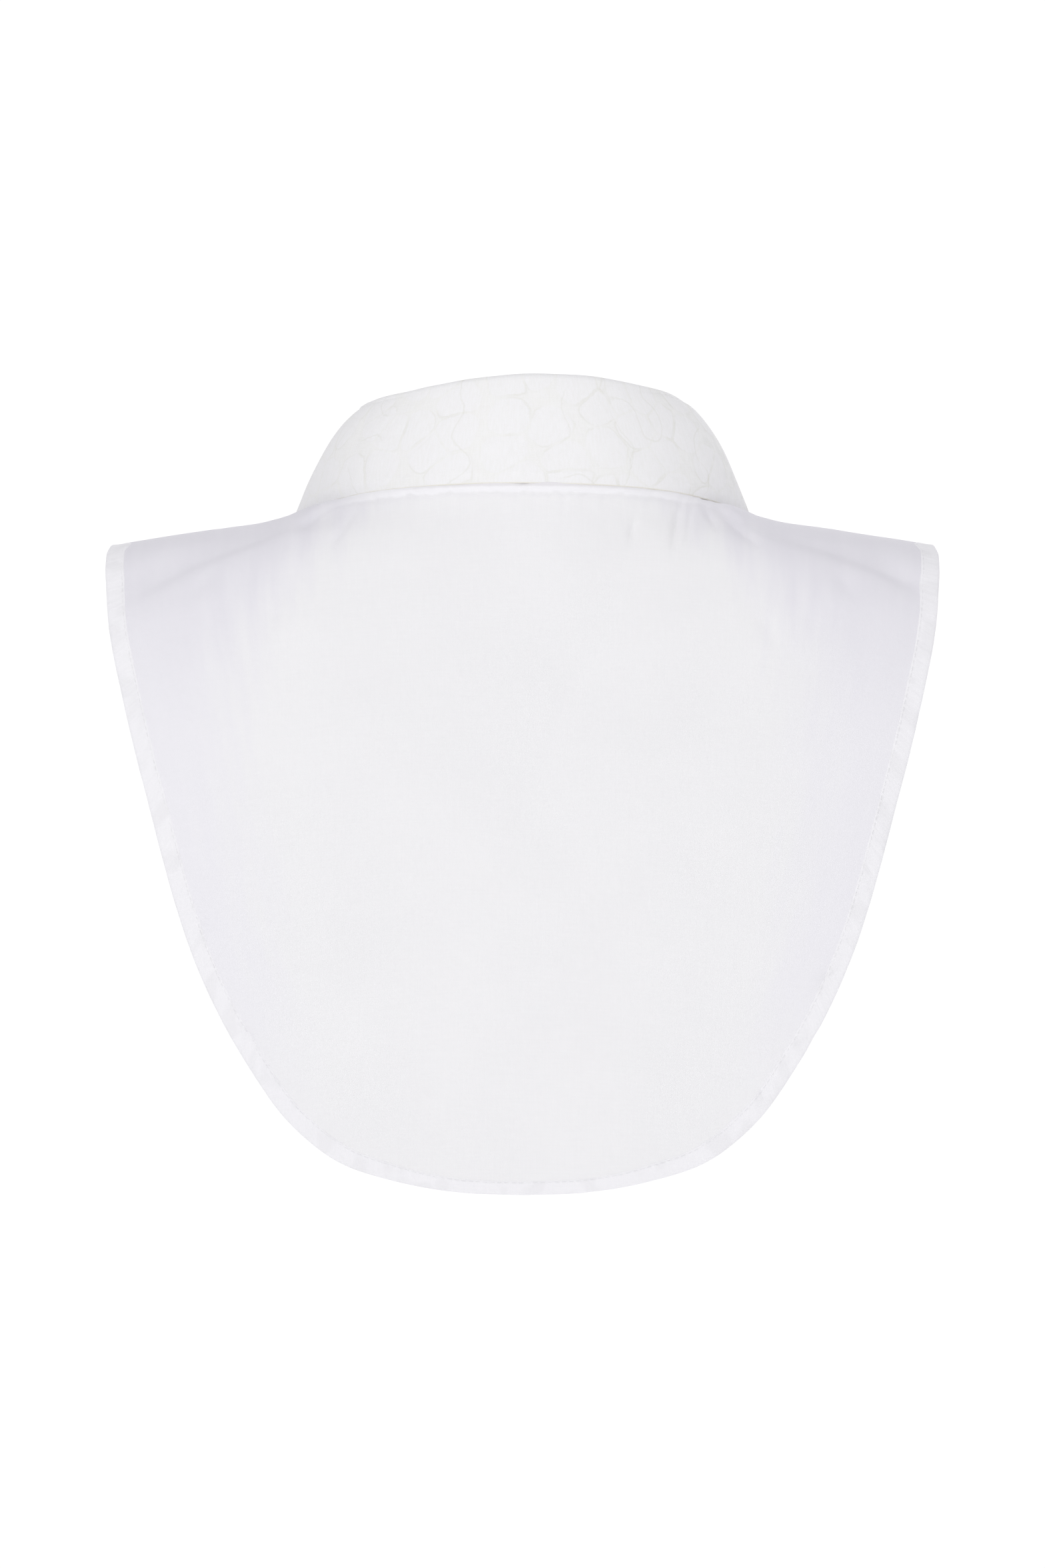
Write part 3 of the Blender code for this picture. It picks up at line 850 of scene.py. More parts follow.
@dataclass(frozen=True)
class LobedCloth:
    """Collar cloth: smooth lobes on a creamier slubbed ground, with fading cords round them."""

    name: str = "collar_lobed_cloth"
    lobe_size: float = 0.0165
    arc_size: float = 0.0215
    lobe: Colour = (0.906, 0.907, 0.912)
    ground: Colour = (0.898, 0.901, 0.880)
    cord: Colour = (0.780, 0.780, 0.725)
    # Painted shade: grey patches between the lobes towards the right tip, where light grazes the
    # relief.
    painted_tip_shade: Colour = (0.800, 0.806, 0.800)
    raw_edge: Colour = (0.83, 0.815, 0.74)
    sway_scale: float = 70.0
    sway: float = 0.0016
    fray_scale: float = 520.0
    fray: float = 0.00042
    grain_scale: float = 2300.0
    lobe_depth: float = 0.0005
    thread_depth: float = 0.00016
    # Along the leaf, where the painted shade of the right tip starts to fade and where it is gone.
    tip_near: float = 0.13
    tip_far: float = 0.19
    stretch: float = 1.14

    def make(self) -> bpy.types.Material:
        """Build the material."""
        shop = NodeShop(self.name)
        plain = shop.uv("weave")
        bent = shop.swayed(plain, self.sway_scale, self.sway)
        bent = shop.swayed(bent, self.fray_scale, self.fray)
        grain = shop.cloud(plain, self.grain_scale, 1.0)
        upright = shop.cloud(shop.uv("weave", 1250.0, 230.0), 1.0)
        slub = shop.cloud(shop.uv("weave", 110.0, 2400.0), 1.0)
        fine = shop.cloud(shop.uv("weave", self.grain_scale, 300.0), 1.0)
        rim = self.lobes(shop, bent)
        arc = (shop.cloud(bent, 1.0 / self.arc_size, 0.0) - 0.5) * 1.6
        lobe = rim.step(-0.02, 0.04)
        cords = self.cords(shop, plain, rim, arc, grain)
        patchy = shop.cloud(plain, 210.0, 2.0)
        share = (1.0 - lobe * 0.75) * (0.25 + slub * 0.8) * (0.55 + patchy * 0.9)
        color = shop.blend(share.held(), self.lobe, self.ground)
        along, away = shop.axes(shop.uv("edge"))
        # Painted shade between the lobes towards the right tip.
        tip = 1.0 - along.step(self.tip_near, self.tip_far)
        painted_tip_shade = (1.0 - lobe * 0.6) * patchy.step(0.42, 0.66) * tip
        color = shop.blend(painted_tip_shade * 0.42, color, self.painted_tip_shade)
        threads = (upright * 0.6 + grain * 0.4).step(0.62, 0.36)
        color = shop.blend(threads * 0.16, color, self.cord)
        color = shop.blend(cords.held(), color, self.cord)
        color = shop.blend(1.0 - away.step(0.0002, 0.0007), color, self.raw_edge)
        height = rim.step(0.0, 0.24) * 0.45 + (1.0 - lobe) * slub * 0.25 - cords * 0.40 + 0.35
        normal = shop.bump(height, self.lobe_depth, 0.5)
        threads = fine * 0.35 + slub * 0.25 + grain * 0.4
        normal = shop.bump(threads, self.thread_depth, 0.5, normal)
        return shop.finish(color, 0.80 + slub * 0.14, normal, 0.10)

    def lobes(self, shop: NodeShop, where: Val) -> Val:
        """Find the distance inside packed rounded lobes, flattened where they touch.

        Args:
            shop: Node shop of the material.
            where: Bent cloth coordinates.

        Returns:
            The distance inside the nearest edge in lobe sizes, below 0 outside it.
        """
        inputs = {0: where, 1: (1.0, self.stretch, 1.0)}
        moved = shop.val("ShaderNodeVectorMath", {"operation": "MULTIPLY"}, inputs)
        inputs = {"Vector": moved, "Scale": 1.0 / self.lobe_size, "Randomness": 0.80}
        kind = {"voronoi_dimensions": "2D", "feature": "F1"}
        near = shop.val("ShaderNodeTexVoronoi", kind, inputs, "Distance")
        border = {"voronoi_dimensions": "2D", "feature": "DISTANCE_TO_EDGE"}
        apart = shop.val("ShaderNodeTexVoronoi", border, inputs, "Distance")
        round_rim = 0.50 + shop.cloud(where, self.sway_scale, 1.0) * 0.16 - near
        return round_rim.soft_least(apart * 1.1 - 0.02, 0.16)

    def cords(self, shop: NodeShop, plain: Val, rim: Val, arc: Val, grain: Val) -> Val:
        """Lay broken cords along the shapes' edges, darker towards the right tip, where the extra
        darkness is painted shade of the relief.

        Args:
            shop: Node shop of the material.
            plain: Cloth coordinates.
            rim: Distance inside the lobes.
            arc: Distance from the larger curved lines.
            grain: Fine grain that frays the cords.

        Returns:
            The cords' share.
        """
        along = shop.axes(shop.uv("edge"))[0]
        # Painted shade: cords darker towards the right tip.
        painted_shade_gain = 0.75 + (1.0 - along.step(self.tip_near, self.tip_far)) * 0.45
        seen = shop.cloud(plain, 75.0, 1.0).step(0.47, 0.66)
        also = shop.cloud(plain, 41.0, 1.0).step(0.44, 0.58)
        first = (1.0 - rim.size().step(0.004, 0.044)) * (0.07 + seen * 0.62)
        second = (1.0 - arc.size().step(0.002, 0.028)) * also * 0.66
        return (first + second).held() * (0.05 + grain * 1.3) * painted_shade_gain


@dataclass(frozen=True)
class SewingThread:
    """Twisted white thread."""

    name: str = "sewing_thread"
    color: Colour = (0.87, 0.87, 0.88)
    dark: Colour = (0.7656, 0.7656, 0.7744)

    def make(self) -> bpy.types.Material:
        """Build the material."""
        shop = NodeShop(self.name)
        where = shop.node("ShaderNodeTexCoord", {}, {})
        inputs = {"Vector": where.outputs["Object"], "Scale": 900.0, "Distortion": 2.0}
        twist = shop.val("ShaderNodeTexWave", {"bands_direction": "DIAGONAL"}, inputs, 1)
        color = shop.blend(twist * 0.4, self.color, self.dark)
        return shop.finish(color, 0.6 + twist * 0.2, shop.bump(twist, 0.00006, 0.5), 0.2)


@dataclass(frozen=True)
class ShellButton:
    """Off-white polished button with faint clouding."""

    name: str = "shell_button"
    light: Colour = (0.86, 0.86, 0.84)
    shade: Colour = (0.77, 0.77, 0.74)

    def make(self) -> bpy.types.Material:
        """Build the material."""
        shop = NodeShop(self.name)
        where = shop.node("ShaderNodeTexCoord", {}, {})
        inputs = {"Vector": where.outputs["Object"], "Scale": 160.0, "Detail": 3.0}
        inputs["Distortion"] = 1.4
        cloud = shop.val("ShaderNodeTexNoise", {}, inputs)
        color = shop.blend(cloud.step(0.35, 0.65), self.shade, self.light)
        made = shop.finish(color, 0.22 + cloud * 0.14, shop.bump(cloud, 0.00005, 0.2), 0.0)
        shop.shader.inputs["Specular IOR Level"].default_value = 0.5
        return made


@dataclass(frozen=True)
class StudioPaper:
    """Seamless white floor, lit from below like a light table, more strongly far out."""

    name: str = "studio_paper"
    glow: float = 0.18
    far_glow: float = 0.50
    near: float = 0.9
    far: float = 2.6
    light: Colour = (0.96, 0.96, 0.96)
    shade: Colour = (0.93, 0.93, 0.93)

    def make(self) -> bpy.types.Material:
        """Build the material."""
        shop = NodeShop(self.name)
        where = shop.node("ShaderNodeTexCoord", {}, {})
        place = where.outputs["Object"]
        grain = shop.val("ShaderNodeTexNoise", {}, {"Vector": place, "Scale": 400.0})
        color = shop.blend(grain, self.shade, self.light)
        away = shop.val("ShaderNodeVectorMath", {"operation": "LENGTH"}, {0: place}, "Value")
        share = away.step(self.near, self.far)
        glow = shop.blend(share, (self.glow,) * 3, (self.far_glow,) * 3)
        shop.feed(shop.shader.inputs["Emission Color"], glow)
        shop.shader.inputs["Emission Strength"].default_value = 1.0
        return shop.finish(color, 0.9, shop.bump(grain, 0.0001, 0.1), 0.0)


@dataclass
class SheetShell:
    """Thin cloth shell: a grid laid by functions as its inner face, then walled outward."""

    name: str
    columns: int
    rows: int
    place: Callable[[int, int], Vector]
    wall_of: Callable[[int, int], float]
    uv_of: Callable[[int, int, Vector], Pair]
    edge_of: Callable[[int, int, Vector], Pair]
    sharp_degrees: float = 48.0
    least_half_width: float = 0.03

    def build(self, material: bpy.types.Material) -> bpy.types.Object:
        """Make the object.

        Args:
            material: Finish of the piece.

        Returns:
            The shell, at the origin, with its wall in its mesh.
        """
        shape = bmesh.new()
        bmesh.ops.create_grid(shape, x_segments=self.columns, y_segments=self.rows, size=1.0)
        where: dict[int, tuple[int, int]] = {}
        walls: list[float] = []
        shape.verts.ensure_lookup_table()
        for vertex in shape.verts:
            column = round((vertex.co.x + 1.0) * 0.5 * self.columns)
            row = round((vertex.co.y + 1.0) * 0.5 * self.rows)
            where[vertex.index] = (column, row)
            vertex.co = self.place(column, row)
            walls.append(self.wall_of(column, row))
        for name, read in (("weave", self.uv_of), ("place", self.place_of), ("edge", self.edge_of)):
            layer = shape.loops.layers.uv.new(name)
            for loop in (loop for face in shape.faces for loop in face.loops):
                loop[layer].uv = read(*where[loop.vert.index], loop.vert.co)
        mesh = bpy.data.meshes.new(self.name + "_open")
        shape.to_mesh(mesh)
        shape.free()
        return self._walled(mesh, walls, material)

    def place_of(self, column: int, row: int, point: Vector) -> Pair:
        """Share of the back outline's half width at a point, and its depth below the neck."""
        return point.x / max(BODY.back.across_at(point.z), self.least_half_width), -point.z

    def _walled(
        self, mesh: bpy.types.Mesh, walls: Sequence[float], material: bpy.types.Material
    ) -> bpy.types.Object:
        """Give the open grid its wall and keep the result as a plain mesh.

        Args:
            mesh: The open grid.
            walls: Wall at each vertex.
            material: Finish of the piece.

        Returns:
            The piece.
        """
        piece = bpy.data.objects.new(self.name, mesh)
        bpy.context.scene.collection.objects.link(piece)
        most = max(walls)
        group = piece.vertex_groups.new(name="wall")
        for index, wall in enumerate(walls):
            group.add([index], wall / most, "REPLACE")
        solidify = piece.modifiers.new("wall", "SOLIDIFY")
        solidify.thickness = most
        solidify.offset = 1.0
        solidify.use_quality_normals = True
        solidify.vertex_group = group.name
        solidify.thickness_vertex_group = 0.0
        bpy.context.view_layer.update()
        graph = bpy.context.evaluated_depsgraph_get()
        walled = bpy.data.meshes.new_from_object(piece.evaluated_get(graph))
        walled.name = self.name
        piece.modifiers.clear()
        piece.vertex_groups.clear()
        piece.data = walled
        walled.materials.clear()
        walled.materials.append(material)
        walled.polygons.foreach_set("use_smooth", [True] * len(walled.polygons))
        walled.set_sharp_from_angle(angle=math.radians(self.sharp_degrees))
        return piece


@dataclass
class StitchRow:
    """Row of small stitches lying on the cloth."""

    name: str
    length: float = 0.0021
    pitch: float = 0.0028
    thick: float = 0.00020

    lift: float = 0.12

    def build(self, paths: Sequence[Path], material: bpy.types.Material) -> bpy.types.Object:
        """Lay the stitches along one or more paths.

        Args:
            paths: Rows of points on the cloth, each with its outward direction.
            material: Thread finish.

        Returns:
            One object with every stitch.
        """
        shape = bmesh.new()
        for path in paths:
            self.lay(shape, path)
        return self.close(shape, material)

    def lay(self, shape: bmesh.types.BMesh, path: Path) -> None:
        """Add stitches at an even pitch along a path.

        Args:
            shape: Mesh to add to.
            path: Points on the cloth with their outward directions.
        """
        travelled, due = 0.0, 0.5 * self.pitch
        for (start, normal), (end, _) in zip(path, path[1:]):
            step = (end - start).length
            while travelled + step >= due and step > 0.0:
                along = (end - start).normalized()
                self.add(shape, start + along * (due - travelled), along, normal)
                due += self.pitch
            travelled += step

    def add(self, shape: bmesh.types.BMesh, at: Vector, along: Vector, normal: Vector) -> None:
        """Add one stitch, a flattened bead of thread.

        Args:
            shape: Mesh to add to.
            at: Middle of the stitch on the cloth.
            along: Direction of the thread.
            normal: Outward direction.
        """
        across = normal.cross(along).normalized()
        up = along.cross(across).normalized()
        turn = Matrix((along, across, up)).transposed().to_4x4()
        size = Matrix.Diagonal((0.5 * self.length, 0.5 * self.thick, 0.5 * self.thick, 1.0))
        matrix = Matrix.Translation(at + normal * self.lift * self.thick) @ turn @ size
        bmesh.ops.create_uvsphere(shape, u_segments=6, v_segments=5, radius=1.0, matrix=matrix)

    def close(
        self, shape: bmesh.types.BMesh, material: bpy.types.Material
    ) -> bpy.types.Object:
        """Turn the stitches into one smooth object."""
        made = as_object(self.name, shape, material)
        made.data.polygons.foreach_set("use_smooth", [True] * len(made.data.polygons))
        return made


@dataclass
class Finishes:
    """Every finish, made once."""

    bib: bpy.types.Material = field(default_factory=lambda: PlainWeave().make())
    hem: bpy.types.Material = field(
        default_factory=lambda: PlainWeave(
            "bib_hem_weave",
            light=(0.917, 0.914, 0.929),
            shade=(0.897, 0.894, 0.909),
            pucker_share=0.28,
        ).make()
    )
    collar: bpy.types.Material = field(default_factory=lambda: LobedCloth().make())
    thread: bpy.types.Material = field(default_factory=lambda: SewingThread().make())
    shell: bpy.types.Material = field(default_factory=lambda: ShellButton().make())


def folds(*rows: tuple[float, ...]) -> tuple[Fold, ...]:
    """Folds from rows of x0, z0, x1, z1, half width and height, in millimetres."""
    return tuple(Fold(*(value / 1000.0 for value in row)) for row in rows)


BACK_FOLDS = folds(
    (96.0, -8.0, 120.0, -16.0, 4.2, -1.6),
    (118.0, -15.0, 155.0, -31.0, 5.2, -2.4),
    (112.0, -33.0, 158.0, -48.0, 9.0, 1.1),
    (70.0, -4.0, 86.0, -9.0, 2.6, -0.8),
    (93.0, -33.0, 98.0, -48.0, 5.0, -0.5),
    (119.0, -24.0, 129.0, -36.0, 5.0, -0.5),
    (-94.0, -8.0, -114.0, -14.5, 4.0, -1.4),
    (-112.0, -14.0, -140.0, -20.5, 4.6, -1.9),
    (-138.0, -20.0, -156.0, -33.0, 5.0, -2.1),
    (-104.0, -30.0, -152.0, -44.0, 8.5, 1.0),
    (-44.0, -6.0, -42.0, -13.0, 2.6, -0.6),
    (-62.0, -2.0, -58.0, -15.0, 2.8, -0.8),
    (-74.0, -4.0, -90.0, -15.0, 3.0, -0.9),
    (-122.0, -26.0, -130.0, -37.0, 5.0, -0.5),
    (-93.0, -42.0, -99.0, -55.0, 5.0, -0.5),
    (-43.0, -20.0, 6.0, -142.0, 18.0, -1.6),
    (60.0, -50.0, 30.0, -170.0, 24.0, 0.8),
    (88.0, -231.0, 72.0, -245.0, 6.0, -0.7),
    (-86.0, -225.0, -74.0, -242.0, 6.0, -0.7),
)
BACK_CREASES = folds(
    (78.0, -3.0, 87.0, -9.5, 1.6, -1.05),
    (66.0, -4.0, 74.0, -16.0, 1.7, -1.0),
    (119.0, -25.0, 129.0, -36.0, 2.6, -0.4),
    (93.0, -34.0, 98.5, -50.0, 2.8, -0.35),
    (-43.5, -6.0, -42.0, -14.0, 1.6, -0.95),
    (-61.0, 1.0, -58.5, -16.0, 1.6, -1.25),
    (-66.0, 0.0, -64.0, -13.0, 1.4, -0.85),
    (-70.0, 0.0, -75.5, -9.5, 1.6, -1.1),
    (-75.0, -1.0, -91.0, -15.3, 1.8, -1.1),
    (-121.0, -26.0, -130.0, -37.0, 2.6, -0.4),
    (-93.0, -43.0, -99.5, -56.0, 2.8, -0.3),
    (-111.0, -42.0, -115.0, -51.0, 2.6, -0.25),
    (90.0, -7.8, 128.0, -22.8, 2.3, -0.95),
    (126.0, -21.6, 153.0, -36.5, 2.7, -0.9),
    (-88.0, -7.4, -122.0, -18.2, 2.3, -0.95),
    (-120.0, -17.4, -154.0, -31.0, 2.7, -0.95),
    (-44.5, -18.0, 4.0, -140.0, 8.5, -1.9),
    (86.0, -4.7, 116.0, -9.4, 4.0, -0.7),
    (-86.0, -4.7, -116.0, -9.4, 4.0, -0.7),
    (131.0, -157.0, 121.5, -164.0, 1.9, -1.2),
    (112.0, -201.5, 103.5, -207.0, 1.9, -1.2),
    (-124.0, -179.5, -115.0, -186.0, 1.9, -1.2),
    (-114.0, -205.0, -105.0, -211.5, 1.9, -1.1),
    (83.0, -239.0, 78.0, -245.0, 1.7, -0.6),
    (-83.0, -234.5, -77.5, -240.0, 1.7, -0.6),
)
FRONT_FOLDS = folds(
    (98.0, -13.0, 152.0, -33.0, 6.0, -1.9),
    (108.0, -42.0, 150.0, -56.0, 10.0, 1.0),
    (100.0, -75.0, 118.0, -130.0, 13.0, -1.0),
    (52.0, -115.0, 66.0, -205.0, 16.0, 0.9),
    (-96.0, -14.0, -150.0, -30.0, 5.8, -1.8),
    (-112.0, -47.0, -150.0, -50.0, 9.0, 1.1),
    (-92.0, -86.0, -106.0, -142.0, 14.0, -1.1),
    (-60.0, -128.0, -74.0, -198.0, 15.0, 0.8),
)
FRONT_CREASES = folds(
    (92.0, -56.0, 100.0, -70.0, 1.8, -0.75),
    (120.0, -38.0, 127.0, -47.0, 1.7, -0.8),
    (100.0, -15.0, 128.0, -25.5, 2.4, -0.85),
    (126.0, -24.5, 150.0, -37.0, 2.7, -0.8),
    (111.0, -172.0, 105.0, -177.0, 1.6, -0.75),
    (-98.0, -62.0, -105.0, -75.0, 1.8, -0.75),
    (-128.0, -35.0, -133.0, -45.0, 1.6, -0.8),
    (-100.0, -15.5, -132.0, -25.0, 2.4, -0.85),
    (-130.0, -24.2, -151.0, -35.0, 2.6, -0.8),
    (-106.0, -185.0, -100.0, -190.0, 1.6, -0.75),
)


def rough(x: float, y: float, z: float) -> float:
    """Soft noise about 0 at a place."""
    return noise.noise(Vector((x, y, z)))


@dataclass
class BibPanel:
    """One bib panel: its cloth, its turned hem and the stitches that hold the hem."""

    name: str
    node: str
    angles: tuple[float, ...]
    rows: int
    folds: tuple[Fold, ...]
    seed: float
    flat: Pair
    area: float
    skin: float = 0.0004
    wall: float = 0.0006
    row_crowding: float = 0.4
    fold_free: float = 0.08
    wave_free: float = 0.1
    gather_at: float = 0.022
    gather_reach: float = 0.020
    hem_width: float = 0.0075
    hem_step: float = 0.00085
    hem_cover: float = 0.88
    hem_stitch: float = 0.86
    pucker: float = 0.00023
    hem_widths: Table = Table(
        ("across", "width"), ((0.0, 0.0056), (0.034, 0.0058), (0.052, 0.0068), (0.072, 0.0075))
    )
    hem_wall: float = 0.00125
    lap_out: float = 0.0026
    lap_start: float = 140.0
    lap_full: float = 166.0
    placket_wall: float = 0.0013
    placket_stitches: Pair = (168.6, 191.2)
    shoulder_stitches: float = 93.6
    tuck_start: float = 95.3
    tuck_angle: float = 97.5
    tuck_depth: float = 0.00075
    roll_drop: float = 0.0026
    broad_wave: float = 0.00035
    small_wave: float = 0.00010
    gather_height: float = 0.00045
    front_gather: float = 0.00042
    roll: Table = Table(
        ("across", "height"),
        (
            (0.0, 0.0009),
            (0.015, 0.0011),
            (0.030, 0.0014),
            (0.045, 0.0016),
            (0.058, 0.0016),
            (0.070, 0.0016),
            (0.079, 0.0015),
            (0.085, 0.0009),
            (0.091, 0.0),
        ),
    )
    leaf_line: Table = Table(
        ("across", "up"),
        (
            (0.0, 0.0084),
            (0.0262, 0.0079),
            (0.0492, 0.0062),
            (0.0672, 0.0034),
            (0.0775, 0.0008),
            (0.0852, -0.0036),
        ),
    )

    def lap(self, angle: float) -> float:
        """How far the right front has moved out over the left, from 0 to 1."""
        share = (-angle - self.lap_start) / (self.lap_full - self.lap_start)
        return 0.0 if angle > 0.0 else ease(share)

    def drape(self, angle: float, out: float, point: Vector) -> float:
        """Height of every fold, crease and small unevenness at a place.

        Args:
            angle: Angle of the line round the neck.
            out: Place on the line.
            point: Bare point there.

        Returns:
            How far the cloth moves out, in metres.
        """
        height = sum(fold.at(point.x, point.z) for fold in self.folds)
        height *= ease(out / self.fold_free)
        broad = rough(point.x * 17.0, point.z * 13.0, self.seed)
        small = rough(point.x * 60.0, point.z * 38.0, self.seed + 4.0)
        wave = self.broad_wave * broad + self.small_wave * small
        height += wave * ease(out / self.wave_free)
        if abs(angle) <= RIDGE:
            return height + self.neck_roll(point)
        gather = rough(angle * 0.34, self.seed, 2.0) + 0.5 * rough(angle * 0.9, self.seed, 6.0)
        near_neck = math.exp(-(((out - self.gather_at) / self.gather_reach) ** 2))
        near_neck *= ease((abs(angle) - RIDGE) / 5.0)
        return height + self.front_gather * gather * near_neck

    def neck_roll(self, point: Vector) -> float:
        """Roll the neck seam under the leaf's edge, with small gathers below it.

        Args:
            point: Bare point.

        Returns:
            How far the cloth moves out, in metres.
        """
        below = self.leaf_line.at("up", abs(point.x)) - point.z
        fading = 1.0 - ease((abs(point.x) - 0.062) / 0.030)
        drop = self.roll_drop * (1.0 + 0.22 * rough(point.x * 120.0, self.seed, 5.0))
        roll = self.roll.at("height", abs(point.x))
        roll *= 1.0 - ease((below - 0.75 * drop) / (0.85 * drop))
        gather = rough(point.x * 210.0, below * 40.0, self.seed)
        gather += 0.5 * rough(point.x * 430.0, below * 60.0, self.seed + 2.0)
        reach = ease((below - 0.4 * drop) / drop)
        reach *= math.exp(-max(below - 2.0 * drop, 0.0) / 0.006)
        return roll + self.gather_height * gather * reach * fading

    def inner(self, angle: float, out: float) -> Vector:
        """Find a point of the cloth's inner face.

        Args:
            angle: Angle of the line round the neck.
            out: Place on the line.

        Returns:
            The point.
        """
        bare = BODY.on_line(angle, out)
        height = self.drape(angle, out, bare) + self.lap_out * self.lap(angle) + self.skin
        if abs(angle) > RIDGE:
            share = (abs(angle) - self.tuck_start) / (self.tuck_angle - self.tuck_start)
            height -= self.tuck_depth * (1.0 - ease(share)) * self.tucks
        return bare + BODY.normal(angle, out) * height

    @property
    def tucks(self) -> float:
        """1 for a front panel, whose shoulder edge tucks under the back panel, else 0."""
        return 0.0 if self.node == "back_panel" else 1.0

    def hem_at(self, angle: float) -> float:
        """Share of a line under the hem, which is narrower along the middle of the lower edge."""
        across = abs(BODY.outline_at(angle)[0])
        return BODY.hem_share(angle, self.hem_widths.at("width", across))

    def out_at(self, column: int, row: int, hem: Sequence[float]) -> float:
        """Place on its line of a row: closer near the neck, and the last one under the hem."""
        share = row / self.rows
        crowded = share * (self.row_crowding + (1.0 - self.row_crowding) * share)
        return (1.0 - self.hem_cover * hem[column]) * crowded

    def build(self, finishes: Finishes) -> list[bpy.types.Object]:
        """Build the panel.

        Args:
            finishes: Every finish.

        Returns:
            The cloth, its hem and its stitches.
        """
        hem = [self.hem_at(angle) for angle in self.angles]
        columns = len(self.angles) - 1

        def place(column: int, row: int) -> Vector:
            """Inner point of a grid vertex."""
            return self.inner(self.angles[column], self.out_at(column, row, hem))

        def wall_of(column: int, row: int) -> float:
            """Wall at a grid vertex, thicker where the front edge is turned under."""
            folded = abs(self.angles[column]) >= BODY.placket_angle
            end = column in (0, columns) and abs(self.angles[column]) > BODY.placket_angle
            return (0.6 if end else 1.0) * (self.placket_wall if folded else self.wall)

        def edge_of(column: int, row: int, point: Vector) -> Pair:
            """Distance across and below the leaf's edge on the back; far from it elsewhere."""
            behind = abs(self.angles[column]) <= RIDGE
            return point.x, self.leaf_line.at("up", abs(point.x)) - point.z if behind else 0.05

        shell = SheetShell(self.name, columns, self.rows, place, wall_of, self.grain, edge_of)
        cloth = settle(shell.build(finishes.bib), self.node)
        band = self.hem_band(finishes)
        sewing = self.stitches(finishes)
        return [cloth, band, sewing]

    def grain(self, column: int, row: int, point: Vector) -> Pair:
        """Cloth coordinates, along the grain and across it."""
        return point.x, abs(point.y) - point.z

    def hem_angles(self) -> list[float]:
        """Finer angles for the hem, spaced evenly along the outline."""
        tries = spaced(self.angles[0], self.angles[-1], 2400)
        lengths = run_along([Vector(BODY.outline_at(angle)) for angle in tries])
        count = max(int(lengths[-1] / self.hem_step), 2)
        picked, at = [], 0
        for i in range(count + 1):
            goal = lengths[-1] * i / count
            while at < len(tries) - 2 and lengths[at + 1] < goal:
                at += 1
            share = (goal - lengths[at]) / max(lengths[at + 1] - lengths[at], 1e-9)
            picked.append(tries[at] + (tries[at + 1] - tries[at]) * min(share, 1.0))
        return picked

    def hem_band(self, finishes: Finishes) -> bpy.types.Object:
        """Turn the hem: a denser band along the outline with small cross puckers.

        Args:
            finishes: Every finish.

        Returns:
            The band.
        """
        angles = self.hem_angles()
        shares = [self.hem_at(angle) for angle in angles]
        profile = (
            (0.0, 0.30),
            (0.05, 0.80),
            (0.14, 1.0),
            (0.3, 0.93),
            (0.5, 0.90),
            (0.7, 0.93),
            (0.86, 1.0),
            (0.95, 0.85),
            (1.0, 0.45),
        )
        down, thick = zip(*profile)
        run = run_along([BODY.on_line(angle, 1.0) for angle in angles])

        def place(column: int, row: int) -> Vector:
            """Find an inner point of the band, puckered along its run.

            Args:
                column: Place along the hem.
                row: Place across it.

            Returns:
                The point.
            """
            at, across = run[column], down[row]
            out = 1.0 - shares[column] * (1.0 - across)
            pull = rough(at * 210.0, self.seed + 9.0, across * 0.8)
            pull += 0.6 * rough(at * 420.0, self.seed + 3.0, across * 0.8)
            pull += 1.6 * rough(at * 100.0 + across * 0.7, self.seed + 6.0, 2.0)
            strength = 0.5 + 0.9 * max(rough(at * 22.0, self.seed, 1.0), -0.3)
            wave = self.pucker * strength * pull * math.sin(math.pi * (0.12 + 0.80 * across))
            height = wave - 0.5 * (self.hem_wall - self.wall)
            return self.inner(angles[column], out) + BODY.normal(angles[column], out) * height

        def wall_of(column: int, row: int) -> float:
            """Wall of the band, rounded at both long edges."""
            return self.hem_wall * thick[row]

        def edge_of(column: int, row: int, point: Vector) -> Pair:
            """Distance along the hem and across it."""
            return run[column], down[row] * self.hem_width

        sizes = (len(angles) - 1, len(down) - 1)
        shell = SheetShell(self.name + "_hem", *sizes, place, wall_of, self.grain, edge_of)
        return settle(shell.build(finishes.hem))

    def stitches(self, finishes: Finishes) -> bpy.types.Object:
        """Stitches along the hem's inner edge, and down a front edge or along a shoulder seam."""
        row = StitchRow(self.name + "_stitches")
        return settle(row.build(self.stitch_paths(), finishes.thread))

    def on_top(self, angle: float, out: float, wall: float) -> tuple[Vector, Vector]:
        """Outer point of the cloth and its outward direction."""
        normal = BODY.normal(angle, out)
        return self.inner(angle, out) + normal * wall, normal

    def stitch_paths(self) -> list[Path]:
        """Paths of this panel's stitch rows."""
        lift = self.hem_wall - 0.5 * (self.hem_wall - self.wall)
        hem = []
        for angle in self.hem_angles()[::3]:
            hem.append(self.on_top(angle, 1.0 - self.hem_stitch * self.hem_at(angle), lift))
        if self.node == "back_panel":
            wall = self.wall
            rows = (-self.shoulder_stitches, self.shoulder_stitches)
        else:
            wall = self.placket_wall
            rows = [math.copysign(angle, self.angles[0]) for angle in self.placket_stitches]
        steps = [i / 120.0 for i in range(2, 117)]
        return [hem] + [[self.on_top(angle, out, wall) for out in steps] for angle in rows]


def back_panel() -> BibPanel:
    """Back bib panel, from one shoulder seam to the other."""
    angles = tuple(spaced(-95.0, 95.0, 280))
    marks = BACK_FOLDS + BACK_CREASES
    return BibPanel("back_bib", "back_panel", angles, 168, marks, 1.7, (0.326, 0.335), 0.0745)


